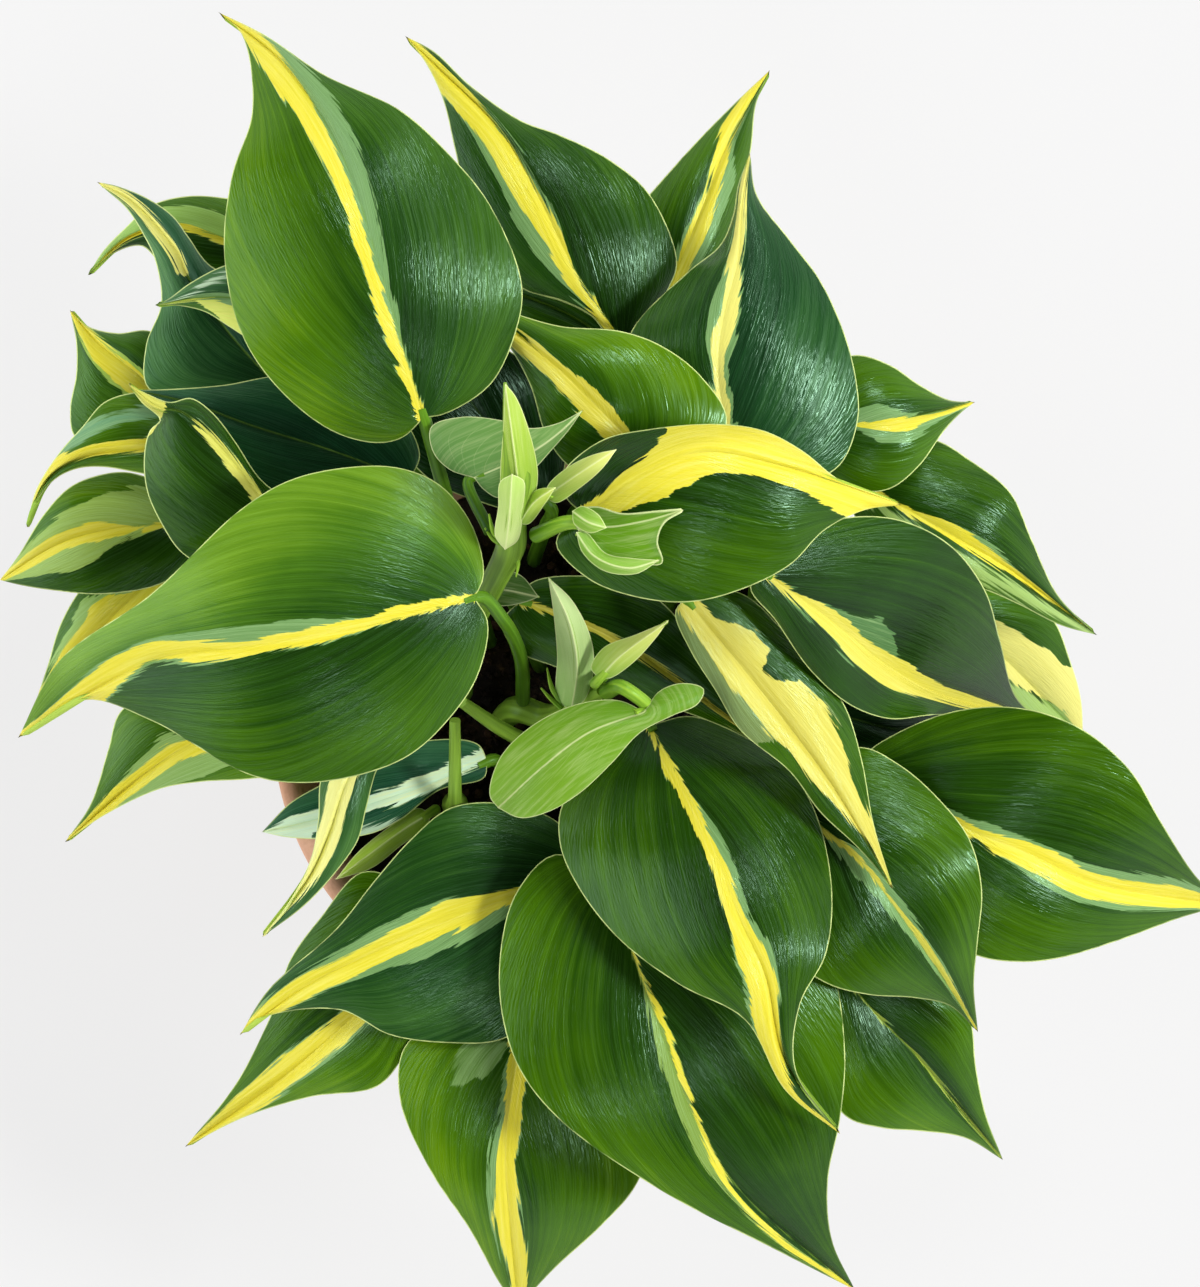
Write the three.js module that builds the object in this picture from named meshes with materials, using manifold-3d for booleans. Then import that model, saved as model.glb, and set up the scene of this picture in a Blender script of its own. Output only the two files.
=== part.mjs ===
// A potted silver stripe philodendron: terracotta pot, soil, vines and leaves.
// Millimetres, +Z up. The origin is the centre of the pot's flat foot.
import * as THREE from "three";
import { mergeVertices } from "three/addons/utils/BufferGeometryUtils.js";
import Module from "manifold-3d";

const wasm = await Module();
wasm.setup();

// The pot. Its rim is the driving size: a common 14 cm terracotta pot.
const RIM_RADIUS = 70;
const RIM_TOP = 125;
const RIM_DEPTH = 24;
const RIM_WALL = 7;
const FOOT_RADIUS = 47;
const POT_WALL = 6;
const POT_FLOOR = 8;
const NECK_RADIUS = 64;
const POT_SEGMENTS = 36;
const DRAIN_RADIUS = 5;
const DRAIN_RING = 22;
const DRAIN_COUNT = 3;

// The soil fills the pot up to a little below the rim.
const SOIL_TOP = 112;
const SOIL_RELIEF = 1.6;
const STEM_DEPTH = 10;
const CLEARANCE = 0.4;

// Leaves and stems.
const BLADE_THICKNESS = 0.8;
const BLADE_CROWN = 1.6;
const PETIOLE_FOOT_RADIUS = 1.9;
const PETIOLE_TIP_RADIUS = 1.5;
const PETIOLE_SIDES = 5;
const VINE_SIDES = 7;
const PETIOLE_INSET = 3;
const PETIOLE_BEND = 1.5;
const PETIOLE_ARCH = [[0.3, 0.42], [0.7, 0.8]];
const YOUNG_SLENDERNESS = 0.75;
const VEIN_SWEEP = 1.7;
const EDGE_FALL = 1.6;
const SWELL_POWER = 0.7;
const WAVE_HEIGHT = 0.8;
const WAVE_COUNT = 2.5;

// Plan places are written in pixels of the view from straight above, 1200 wide and 1287 high.
// There the pot's rim is a circle, which ties the pixels to the rim's real radius.
const RIM_CENTRE_PIXEL = [560, 725];
const RIM_RADIUS_PIXELS = 289;
const EYE_PIXEL = [600, 643.5];
const EYE_HEIGHT = 1300;
const MM_PER_PIXEL = RIM_RADIUS / RIM_RADIUS_PIXELS;

const GREEN = 0x2f5a1c;
const DARK_GREEN = 0x24503a;
const GOLD = 0xd8cf6a;
const LIME = 0xa9cf5a;
const STEM_GREEN = 0x86a83c;
const TERRACOTTA = 0xb98a68;
const SOIL_BROWN = 0x33241a;

// Every leaf with its petiole. rib, left and right run from base to tip in plan pixels; heights are
// the rib's height at base, middle and tip; edges are how far the left and right edges rise or fall;
// foot is the petiole's foot, in the soil or, with a third number, at that height beside a vine;
// via are places that the petiole passes, and girth is how stout it is beside the others.
const LEAVES = [
  {
    name: "leaf_top_left",
    rib: [[424, 418], [392, 310], [340, 150], [282, 62], [218, 12]],
    left: [
      [402, 438], [375, 443], [330, 430], [275, 385], [240, 330], [224, 250], [232, 175], [252, 112],
      [242, 35],
    ],
    right: [
      [445, 414], [490, 385], [515, 335], [522, 285], [490, 205], [450, 155], [400, 110], [325, 75],
      [265, 35],
    ],
    heights: [205, 216, 186],
    edges: [-7, -6],
    foot: [490, 640],
    large: true,
  },
  {
    name: "leaf_top_middle",
    rib: [[625, 345], [575, 270], [540, 200], [500, 130], [440, 70], [405, 36]],
    left: [
      [610, 338], [590, 315], [560, 300], [525, 290], [495, 262], [470, 210], [455, 150], [443, 100],
      [425, 62],
    ],
    right: [
      [648, 322], [668, 290], [677, 262], [650, 195], [610, 160], [560, 135], [520, 120], [470, 85],
      [435, 52],
    ],
    heights: [176, 184, 168],
    edges: [-5, -4],
    foot: [610, 560],
    large: true,
  },
  {
    name: "leaf_top_right",
    rib: [[735, 470], [718, 370], [725, 310], [738, 260], [742, 205], [750, 153]],
    left: [
      [712, 482], [665, 470], [635, 430], [622, 375], [632, 330], [690, 270], [720, 245], [733, 215],
      [738, 185],
    ],
    right: [
      [760, 485], [800, 485], [840, 465], [858, 420], [857, 385], [845, 335], [820, 280], [790, 240],
      [757, 195],
    ],
    heights: [190, 194, 188],
    edges: [-9, -8],
    foot: [665, 610],
    large: true,
  },
  {
    name: "leaf_top_right_back",
    rib: [[660, 310], [685, 250], [705, 200], [725, 150], [770, 70]],
    left: [[645, 330], [618, 300], [615, 250], [632, 215], [655, 188], [700, 138], [740, 98]],
    right: [[680, 328], [705, 300], [727, 250], [740, 195], [751, 150], [756, 105]],
    heights: [162, 164, 150],
    edges: [-4, -5],
    foot: [640, 520],
  },
  {
    name: "leaf_centre_gold",
    rib: [[585, 515], [640, 475], [700, 452], [790, 468], [902, 505]],
    left: [
      [566, 498], [562, 475], [600, 441], [650, 429], [720, 424], [765, 431], [803, 451], [840, 480],
      [880, 495],
    ],
    right: [
      [563, 528], [556, 545], [590, 580], [640, 598], [690, 602], [740, 590], [790, 565], [825, 530],
      [865, 510],
    ],
    heights: [213, 221, 200],
    edges: [-8, -8],
    foot: [572, 553],
    large: true,
  },
  {
    name: "leaf_top_under",
    rib: [[640, 450], [600, 410], [560, 370], [470, 300]],
    left: [[620, 475], [575, 470], [548, 440], [530, 385], [508, 345]],
    right: [[668, 470], [705, 458], [727, 420], [700, 375], [660, 345], [620, 331], [560, 326], [510, 312]],
    heights: [198, 203, 194],
    edges: [-4, -3],
    foot: [590, 600],
  },
  {
    name: "leaf_top_sliver",
    rib: [[665, 390], [620, 350], [570, 315], [480, 280]],
    left: [[640, 400], [590, 385], [545, 350], [510, 318]],
    right: [[680, 370], [650, 335], [600, 305], [545, 285]],
    heights: [160, 162, 154],
    edges: [-3, -3],
    foot: [575, 515],
  },
  {
    name: "leaf_right_small",
    rib: [[800, 430], [855, 425], [900, 420], [975, 402]],
    left: [[795, 405], [820, 370], [855, 355], [890, 365], [920, 385], [950, 400]],
    right: [[800, 462], [835, 485], [866, 492], [892, 488], [920, 465], [945, 430], [962, 412]],
    heights: [174, 178, 164],
    edges: [-4, -4],
    foot: [725, 590],
  },
  {
    name: "leaf_right_back",
    rib: [[860, 480], [905, 508], [960, 540], [1010, 570], [1097, 635]],
    left: [[868, 462], [900, 443], [935, 440], [970, 460], [1010, 492], [1032, 540], [1058, 595]],
    right: [[850, 500], [870, 540], [910, 570], [950, 582], [985, 590], [1020, 605], [1060, 625]],
    heights: [158, 158, 128],
    edges: [-5, -5],
    foot: [750, 640],
    large: true,
  },
  {
    name: "leaf_right_yellow",
    rib: [[955, 620], [1000, 655], [1045, 700], [1083, 738]],
    left: [[978, 590], [1012, 592], [1052, 618], [1070, 660], [1081, 700]],
    right: [[945, 645], [960, 690], [1005, 720], [1055, 735]],
    heights: [122, 108, 92],
    edges: [-3, -3],
    foot: [765, 690],
    via: [[820, 672, 134]],
  },
  {
    name: "leaf_right_middle",
    rib: [[760, 570], [830, 620], [880, 660], [930, 690], [1040, 722]],
    left: [
      [768, 552], [800, 530], [850, 517], [900, 520], [950, 545], [985, 590], [1000, 640],
      [1015, 695],
    ],
    right: [[750, 588], [775, 620], [810, 670], [850, 705], [890, 719], [935, 715], [990, 717]],
    heights: [194, 162, 104],
    edges: [-6, -7],
    foot: [752, 602],
    large: true,
  },
  {
    name: "leaf_right_large",
    rib: [[880, 770], [970, 830], [1020, 850], [1100, 885], [1225, 905]],
    left: [
      [868, 754], [893, 735], [955, 711], [1020, 708], [1080, 728], [1130, 770], [1160, 820],
      [1195, 875],
    ],
    right: [
      [862, 790], [870, 850], [905, 910], [975, 955], [1020, 962], [1060, 958], [1120, 940],
      [1180, 918],
    ],
    heights: [145, 153, 116],
    edges: [4, -7],
    foot: [775, 745],
    large: true,
  },
  {
    name: "leaf_centre_yellow",
    rib: [[685, 598], [740, 665], [790, 728], [835, 790], [893, 888]],
    left: [[675, 612], [690, 650], [715, 690], [740, 730], [790, 772], [820, 812], [858, 848]],
    right: [[705, 588], [745, 595], [790, 638], [823, 674], [846, 708], [862, 760], [874, 825]],
    heights: [186, 176, 168],
    edges: [-3, -7],
    foot: [698, 607],
    large: true,
  },
  {
    name: "leaf_centre_dark",
    rib: [[520, 600], [593, 628], [639, 654], [713, 705], [793, 766]],
    left: [[532, 582], [590, 576], [640, 588], [672, 612], [700, 655], [728, 690], [765, 735]],
    right: [[502, 622], [514, 649], [558, 668], [620, 692], [690, 714], [740, 735]],
    heights: [170, 168, 158],
    edges: [-3, -6],
    foot: [540, 665],
    large: true,
  },
  {
    name: "leaf_lower_right",
    rib: [[790, 790], [820, 825], [850, 850], [900, 915], [978, 1032]],
    left: [[808, 768], [860, 747], [900, 765], [940, 800], [970, 840], [982, 890], [978, 940], [974, 985]],
    right: [
      [768, 802], [752, 850], [770, 920], [800, 965], [830, 985], [870, 995], [915, 998], [950, 1006],
    ],
    heights: [154, 160, 134],
    edges: [-3, -6],
    foot: [735, 765],
    large: true,
  },
  {
    name: "leaf_bottom_centre",
    rib: [[650, 725], [680, 780], [710, 840], [740, 920], [765, 975], [785, 1060], [840, 1134]],
    left: [
      [690, 716], [740, 734], [786, 764], [817, 816], [832, 890], [826, 954], [800, 1005],
      [796, 1070],
    ],
    right: [
      [622, 735], [590, 770], [562, 805], [560, 845], [580, 890], [620, 940], [680, 985], [745, 1020],
      [785, 1090],
    ],
    heights: [150, 176, 152],
    edges: [-4, -6],
    foot: [632, 760],
    large: true,
  },
  {
    name: "leaf_bottom_large",
    rib: [[610, 890], [635, 960], [660, 1030], [690, 1110], [740, 1190], [855, 1290]],
    left: [
      [650, 868], [720, 868], [785, 900], [828, 955], [845, 1050], [840, 1120], [828, 1180],
      [832, 1240],
    ],
    right: [
      [585, 862], [552, 855], [515, 895], [500, 955], [502, 1015], [520, 1070], [560, 1120],
      [660, 1190], [780, 1252],
    ],
    heights: [150, 152, 112],
    edges: [-5, -3],
    foot: [622, 835],
    large: true,
  },
  {
    name: "leaf_bottom_edge",
    rib: [[525, 1010], [515, 1070], [505, 1150], [510, 1230], [518, 1307]],
    left: [[565, 1000], [620, 1030], [652, 1080], [652, 1140], [635, 1187], [600, 1227], [555, 1268]],
    right: [[495, 998], [445, 1016], [404, 1048], [400, 1100], [430, 1170], [470, 1230], [500, 1284]],
    heights: [134, 132, 104],
    edges: [-5, -4],
    foot: [575, 905],
    large: true,
  },
  {
    name: "leaf_lower_left",
    rib: [[580, 870], [520, 895], [450, 920], [380, 950], [300, 990], [240, 1035]],
    left: [
      [592, 900], [575, 960], [545, 1012], [500, 1040], [450, 1043], [390, 1035], [340, 1010],
      [262, 1018],
    ],
    right: [[575, 845], [555, 820], [500, 803], [450, 808], [410, 840], [375, 880], [335, 930], [268, 990]],
    heights: [136, 143, 130],
    edges: [-4, -2],
    foot: [572, 825],
    large: true,
  },
  {
    name: "leaf_lower_left_back",
    rib: [[430, 950], [350, 1020], [280, 1080], [185, 1147]],
    left: [[445, 972], [425, 1012], [406, 1052], [378, 1086], [310, 1097], [245, 1117]],
    right: [[425, 915], [400, 882], [362, 872], [320, 918], [290, 960], [272, 1012], [235, 1085]],
    heights: [136, 124, 92],
    edges: [-4, -1],
    foot: [480, 900],
  },
  {
    name: "leaf_left_large",
    rib: [[475, 598], [400, 618], [320, 635], [240, 648], [150, 662], [18, 738]],
    left: [
      [488, 622], [478, 675], [450, 718], [410, 755], [360, 775], [300, 783], [250, 775], [150, 720],
      [85, 700],
    ],
    right: [
      [484, 575], [472, 525], [440, 485], [400, 468], [350, 467], [290, 480], [240, 510], [150, 595],
      [60, 660],
    ],
    heights: [210, 212, 176],
    edges: [-8, -6],
    foot: [523, 700, 136],
    via: [[520, 655, 176], [502, 618, 202]],
    large: true,
    girth: 0.92,
  },
  {
    name: "leaf_left_under",
    rib: [[300, 720], [200, 740], [150, 770], [65, 842]],
    left: [[312, 745], [290, 772], [250, 779], [200, 782], [160, 789], [105, 815]],
    right: [[285, 700], [230, 680], [160, 688], [120, 712], [108, 750], [90, 805]],
    heights: [146, 148, 128],
    edges: [-3, -4],
    foot: [360, 765],
  },
  {
    name: "leaf_left_yellow",
    rib: [[175, 560], [130, 600], [85, 645], [38, 695]],
    left: [[190, 585], [170, 630], [120, 660], [72, 682]],
    right: [[150, 545], [110, 560], [80, 590], [60, 625], [48, 664]],
    heights: [136, 136, 126],
    edges: [-3, -3],
    foot: [335, 735],
    via: [[288, 688, 134]],
  },
  {
    name: "leaf_left_upper",
    rib: [[190, 522], [147, 525], [111, 529], [59, 544], [0, 580]],
    left: [[202, 550], [165, 582], [105, 594], [50, 590], [20, 585]],
    right: [[185, 495], [144, 476], [117, 472], [73, 485], [44, 514], [18, 556]],
    heights: [148, 150, 138],
    edges: [-3, -3],
    foot: [345, 700],
    via: [[293, 648, 140]],
  },
  {
    name: "leaf_left_second",
    rib: [[205, 442], [140, 450], [85, 457], [50, 477], [27, 527]],
    left: [[205, 465], [170, 478], [144, 474], [103, 467], [76, 469], [53, 481], [34, 507]],
    right: [[192, 415], [150, 393], [126, 394], [103, 403], [82, 427], [59, 453], [36, 490]],
    heights: [160, 162, 152],
    edges: [-2, -3],
    foot: [365, 665],
  },
  {
    name: "leaf_left_third",
    rib: [[170, 420], [144, 380], [126, 365], [97, 342], [70, 310]],
    left: [[160, 442], [110, 450], [75, 437], [70, 409], [76, 375], [76, 342]],
    right: [[190, 405], [190, 360], [150, 331], [117, 333], [88, 326]],
    heights: [146, 147, 140],
    edges: [-2, -2],
    foot: [385, 620],
    via: [[330, 570, 136]],
  },
  {
    name: "leaf_left_long",
    rib: [[290, 400], [235, 340], [190, 280], [176, 251], [132, 201], [97, 182]],
    left: [
      [268, 412], [200, 398], [148, 388], [146, 345], [161, 304], [155, 260], [144, 236], [126, 208],
      [106, 190],
    ],
    right: [
      [308, 380], [318, 335], [290, 300], [250, 280], [211, 266], [188, 236], [173, 216], [147, 198],
      [117, 186],
    ],
    heights: [172, 172, 162],
    edges: [-2, -3],
    foot: [420, 600],
  },
  {
    name: "leaf_left_fold",
    rib: [[330, 325], [270, 305], [220, 297], [155, 305]],
    left: [[325, 352], [290, 360], [250, 340], [228, 326], [205, 312], [180, 306]],
    right: [[328, 300], [300, 270], [260, 258], [223, 266], [190, 283], [168, 299]],
    heights: [190, 188, 182],
    edges: [-2, -3],
    foot: [455, 590],
  },
  {
    name: "leaf_left_dark",
    rib: [[410, 480], [330, 450], [250, 425], [190, 403], [133, 390]],
    left: [[405, 500], [350, 520], [290, 505], [230, 460], [175, 412]],
    right: [[420, 455], [400, 415], [345, 382], [285, 375], [223, 385], [170, 389]],
    heights: [186, 186, 180],
    edges: [-3, -3],
    foot: [455, 640],
  },
  {
    name: "leaf_left_curled",
    rib: [[300, 560], [258, 494], [212, 438], [182, 412], [158, 407], [128, 384]],
    left: [
      [275, 575], [220, 572], [182, 553], [161, 523], [147, 491], [144, 456], [150, 430], [160, 420],
      [142, 403],
    ],
    right: [
      [310, 535], [295, 505], [267, 485], [255, 472], [235, 441], [212, 412], [191, 398], [170, 402],
      [150, 395],
    ],
    heights: [190, 196, 198],
    edges: [-8, -2],
    foot: [425, 660],
  },
  {
    name: "leaf_far_left",
    rib: [[300, 260], [240, 243], [182, 226], [130, 237], [88, 275]],
    left: [[305, 285], [270, 300], [215, 290], [160, 262], [141, 246], [111, 255]],
    right: [[300, 232], [270, 207], [226, 198], [188, 196], [152, 205], [123, 230], [103, 251]],
    heights: [152, 152, 144],
    edges: [-2, -3],
    foot: [470, 560],
  },
  {
    name: "leaf_low_narrow",
    rib: [[370, 740], [345, 785], [330, 830], [310, 875], [262, 937]],
    left: [[385, 750], [375, 775], [366, 810], [358, 840], [336, 872], [304, 906]],
    right: [[345, 748], [322, 775], [318, 820], [311, 858], [290, 900]],
    heights: [158, 160, 146],
    edges: [-2, -2],
    foot: [400, 735],
  },
  {
    name: "leaf_low_mint",
    rib: [[488, 762], [410, 790], [350, 810], [300, 823], [262, 832]],
    left: [[484, 778], [440, 790], [400, 820], [370, 834], [320, 839], [285, 837]],
    right: [[478, 744], [430, 740], [360, 762], [320, 785], [290, 803]],
    heights: [129, 135, 132],
    edges: [-2, -2],
    foot: [520, 775],
  },
  {
    name: "leaf_low_sheath",
    rib: [[430, 813], [400, 832], [335, 880]],
    left: [[428, 826], [402, 845], [372, 868]],
    right: [[418, 808], [390, 826], [358, 852]],
    heights: [124, 130, 130],
    edges: [-1, -1],
    foot: [435, 810, 121],
    small: true,
  },
  {
    name: "leaf_young_lime",
    rib: [[645, 712], [590, 732], [545, 765], [498, 808]],
    left: [
      [658, 692], [682, 683], [704, 689], [698, 704], [672, 716], [640, 733], [612, 763], [580, 793],
      [548, 812], [520, 818],
    ],
    right: [[622, 701], [598, 700], [565, 708], [530, 727], [503, 753], [491, 780], [490, 797]],
    heights: [188, 192, 178],
    edges: [-3, -3],
    foot: [606.5, 692, 176.6],
    via: [[624, 688, 189]],
    small: true,
    girth: 1.3,
  },
  {
    name: "leaf_young_pale",
    rib: [[571, 712], [577, 670], [570, 625], [548, 577]],
    left: [[557, 698], [557, 655], [553, 610]],
    right: [[586, 698], [594, 665], [590, 635], [572, 600]],
    heights: [168, 192, 202],
    edges: [-2, -2],
    foot: [570, 735],
    small: true,
  },
  {
    name: "leaf_young_small",
    rib: [[599, 679], [618, 658], [668, 621]],
    left: [[591, 668], [603, 648], [637, 634]],
    right: [[611, 678], [634, 662], [656, 638]],
    heights: [187, 193, 198],
    edges: [-1, -1],
    foot: [604, 675, 176],
    small: true,
  },
  {
    name: "leaf_young_gold",
    rib: [[545, 497], [572, 478], [617, 449]],
    left: [[548, 485], [568, 467], [592, 455]],
    right: [[556, 503], [580, 488], [602, 469]],
    heights: [216, 226, 228],
    edges: [-1, -1],
    foot: [532, 510, 216],
    small: true,
  },
  {
    name: "leaf_young_curled",
    rib: [[578, 523], [605, 527], [645, 521], [683, 510]],
    left: [[577, 511], [596, 507], [622, 514], [655, 512]],
    right: [[584, 540], [603, 558], [616, 570], [640, 565], [662, 563], [657, 542], [664, 522]],
    heights: [224, 226, 227],
    edges: [2, 2],
    foot: [536, 535, 210],
    small: true,
    girth: 1.3,
  },
  {
    name: "leaf_young_grey",
    rib: [[474, 478], [505, 465], [532, 452], [560, 432], [583, 410]],
    left: [[450, 470], [433, 452], [431, 427], [460, 417], [500, 420], [530, 428], [558, 423]],
    right: [[484, 490], [500, 498], [528, 476], [550, 452], [569, 430]],
    heights: [206, 210, 211],
    edges: [-2, -2],
    foot: [490, 532, 209],
    small: true,
  },
  {
    name: "leaf_young_dark",
    rib: [[480, 588], [505, 590], [539, 597]],
    left: [[484, 573], [503, 569], [522, 576]],
    right: [[484, 603], [505, 606], [526, 602]],
    heights: [172, 178, 182],
    edges: [-1, -1],
    foot: [480, 650, 152],
    small: true,
  },
  {
    name: "leaf_deep_middle",
    rib: [[548, 505], [510, 455], [470, 400], [425, 330]],
    left: [[522, 512], [480, 502], [430, 480], [398, 440], [396, 380]],
    right: [[562, 480], [566, 430], [545, 380], [500, 345], [458, 325]],
    heights: [146, 150, 140],
    edges: [-2, -2],
    foot: [535, 560],
  },
  {
    name: "leaf_deep_right",
    rib: [[812, 715], [850, 718], [890, 728], [965, 730]],
    left: [[818, 700], [850, 687], [892, 686], [934, 702]],
    right: [[815, 735], [845, 752], [890, 760], [935, 750]],
    heights: [134, 134, 112],
    edges: [-2, -2],
    foot: [735, 715],
    via: [[785, 716, 133]],
  },
  {
    name: "leaf_bottom_right",
    rib: [[830, 960], [882, 1021], [913, 1052], [956, 1104], [1003, 1160]],
    left: [[860, 945], [915, 955], [955, 985], [971, 1021], [976, 1067], [986, 1115]],
    right: [[815, 985], [815, 1050], [844, 1115], [882, 1128], [919, 1131], [965, 1138]],
    heights: [132, 126, 100],
    edges: [-3, -4],
    foot: [735, 845],
    via: [[768, 882, 132]],
  },
];

// The vines: thick stems. path is in plan pixels with a height, radii run from foot to tip.
const VINES = [
  {
    name: "vine_middle_with_bud",
    path: [
      [462, 690, 102], [462, 688, 130], [470, 630, 170], [495, 580, 195],
      [511, 545, 206], [513, 512, 216], [517, 475, 226], [511, 430, 234], [505, 383, 240],
    ],
    radii: [2.8, 2.8, 2.8, 2.9, 3.4, 3, 3.1, 1.9, 0.4],
  },
  {
    name: "vine_swollen",
    path: [
      [504, 720, 102], [504, 718, 119], [520, 709, 131], [546, 717, 135], [570, 710, 146],
      [590, 698, 163], [603, 690, 176],
    ],
    radii: [2.6, 3, 3.4, 3.2, 2.6, 2, 1.6],
  },
  {
    name: "stalk_slanting",
    path: [[533, 746, 102], [532, 745, 118], [497, 726, 139], [462, 702, 150]],
    radii: [2.2, 2.1, 1.8, 1.4],
  },
  {
    name: "stalk_upright",
    path: [[455, 804, 102], [455, 804, 122], [455, 798, 138], [455, 765, 145], [455, 720, 151]],
    radii: [3.4, 3.2, 1.7, 1.5, 1.3],
  },
];

function place([u, v], height) {
  const scale = MM_PER_PIXEL * (EYE_HEIGHT - height) / (EYE_HEIGHT - RIM_TOP);
  const eyeX = (EYE_PIXEL[0] - RIM_CENTRE_PIXEL[0]) * MM_PER_PIXEL;
  const eyeY = (RIM_CENTRE_PIXEL[1] - EYE_PIXEL[1]) * MM_PER_PIXEL;
  return new THREE.Vector3(eyeX + (u - EYE_PIXEL[0]) * scale, eyeY - (v - EYE_PIXEL[1]) * scale, height);
}

function planCurve(points) {
  const corners = points.map(([u, v]) => new THREE.Vector3(u, v, 0));
  return new THREE.CatmullRomCurve3(corners, false, "centripetal");
}

// A closed solid from shared vertices and triangles, turned so that its faces point out.
function solidFrom(vertices, triangles) {
  const faces = triangles.filter(([a, b, c]) => a !== b && b !== c && c !== a);
  let volume = 0;
  for (const [a, b, c] of faces) {
    volume += vertices[a].dot(new THREE.Vector3().crossVectors(vertices[b], vertices[c]));
  }
  const ordered = volume < 0 ? faces.map(([a, b, c]) => [a, c, b]) : faces;
  return new wasm.Manifold(new wasm.Mesh({
    numProp: 3,
    vertProperties: new Float32Array(vertices.flatMap((point) => point.toArray())),
    triVerts: new Uint32Array(ordered.flat()),
  }));
}

function solidFromGeometry(geometry) {
  geometry.deleteAttribute("normal");
  geometry.deleteAttribute("uv");
  const merged = mergeVertices(geometry, 1e-4);
  const places = merged.getAttribute("position");
  const vertices = [];
  for (let i = 0; i < places.count; i += 1) {
    vertices.push(new THREE.Vector3().fromBufferAttribute(places, i));
  }
  const triangles = [];
  for (let i = 0; i < merged.index.count; i += 3) {
    triangles.push([merged.index.getX(i), merged.index.getX(i + 1), merged.index.getX(i + 2)]);
  }
  return solidFrom(vertices, triangles);
}

function meshFrom(name, solid, color, roughness) {
  const { vertProperties, triVerts } = solid.getMesh();
  const geometry = new THREE.BufferGeometry();
  geometry.setAttribute("position", new THREE.BufferAttribute(vertProperties, 3));
  geometry.setIndex(new THREE.BufferAttribute(triVerts, 1));
  geometry.computeVertexNormals();
  const mesh = new THREE.Mesh(geometry, new THREE.MeshStandardMaterial({ color, roughness }));
  mesh.name = name;
  return mesh;
}

// A round stem along a path of places, as wide at each place as its radius says.
function stemSolid(places, radii, sides, ringsPerSpan) {
  const curve = new THREE.CatmullRomCurve3(places, false, "centripetal");
  const rings = (places.length - 1) * ringsPerSpan;
  const normal = new THREE.Vector3(1, 0, 0);
  const vertices = [];
  const triangles = [];
  for (let i = 0; i <= rings; i += 1) {
    const along = curve.getTangent(i / rings);
    normal.addScaledVector(along, -normal.dot(along)).normalize();
    const across = new THREE.Vector3().crossVectors(along, normal);
    const before = Math.min(Math.floor(i / ringsPerSpan), radii.length - 2);
    const radius = THREE.MathUtils.lerp(radii[before], radii[before + 1], i / ringsPerSpan - before);
    for (let k = 0; k < sides; k += 1) {
      const turn = (2 * Math.PI * k) / sides;
      vertices.push(curve.getPoint(i / rings)
        .addScaledVector(normal, radius * Math.cos(turn))
        .addScaledVector(across, radius * Math.sin(turn)));
    }
  }
  for (let i = 0; i < rings; i += 1) {
    for (let k = 0; k < sides; k += 1) {
      const a = i * sides + k;
      const b = i * sides + ((k + 1) % sides);
      triangles.push([a, b, b + sides], [a, b + sides, a + sides]);
    }
  }
  const last = rings * sides;
  for (let k = 1; k < sides - 1; k += 1) {
    triangles.push([0, k + 1, k], [last, last + k, last + k + 1]);
  }
  return solidFrom(vertices, triangles);
}

function ribHeight(heights, s) {
  const [base, middle, tip] = heights;
  return base * (1 - s) * (1 - 2 * s) + middle * 4 * s * (1 - s) + tip * s * (2 * s - 1);
}

// One point of a blade: t runs round the outline from base to tip, q from the rib to the edge.
function bladePoint(leaf, curves, side, t, q) {
  const s = t ** VEIN_SWEEP;
  const plan = curves.rib.getPointAt(s).lerp(curves[side].getPointAt(t), q);
  const swell = Math.sin(Math.PI * t) ** SWELL_POWER;
  const edge = leaf.edges[side === "left" ? 0 : 1] * q ** EDGE_FALL;
  const crown = leaf.small ? 0 : BLADE_CROWN * 4 * q * (1 - q);
  const phase = leaf.rib[0][0];
  const wave = leaf.large ? WAVE_HEIGHT * q * q * Math.sin(2 * Math.PI * WAVE_COUNT * t + phase) : 0;
  return place([plan.x, plan.y], ribHeight(leaf.heights, s) + swell * (edge + crown + wave));
}

// The blade's upper face as a grid on each side of the rib, thickened downwards along its normals.
function bladeSolid(leaf, curves, rows, columns) {
  const vertices = [];
  const triangles = [];
  const seen = new Map();
  const indexOf = (point) => {
    const key = point.toArray().map((n) => n.toFixed(3)).join();
    if (!seen.has(key)) {
      seen.set(key, vertices.length);
      vertices.push(point);
    }
    return seen.get(key);
  };
  for (const side of ["left", "right"]) {
    const grid = [];
    for (let i = 0; i <= rows; i += 1) {
      const row = [];
      for (let j = 0; j <= columns; j += 1) {
        row.push(indexOf(bladePoint(leaf, curves, side, i / rows, j / columns)));
      }
      grid.push(row);
    }
    for (let i = 0; i < rows; i += 1) {
      for (let j = 0; j < columns; j += 1) {
        const corners = [grid[i][j], grid[i][j + 1], grid[i + 1][j + 1], grid[i + 1][j]];
        if (side === "right") corners.reverse();
        const [a, b, c, d] = corners;
        triangles.push(side === "left" ? [a, b, c] : [b, c, d], side === "left" ? [a, c, d] : [b, d, a]);
      }
    }
  }
  return thickened(vertices, triangles.filter(([a, b, c]) => a !== b && b !== c && c !== a));
}

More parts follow.
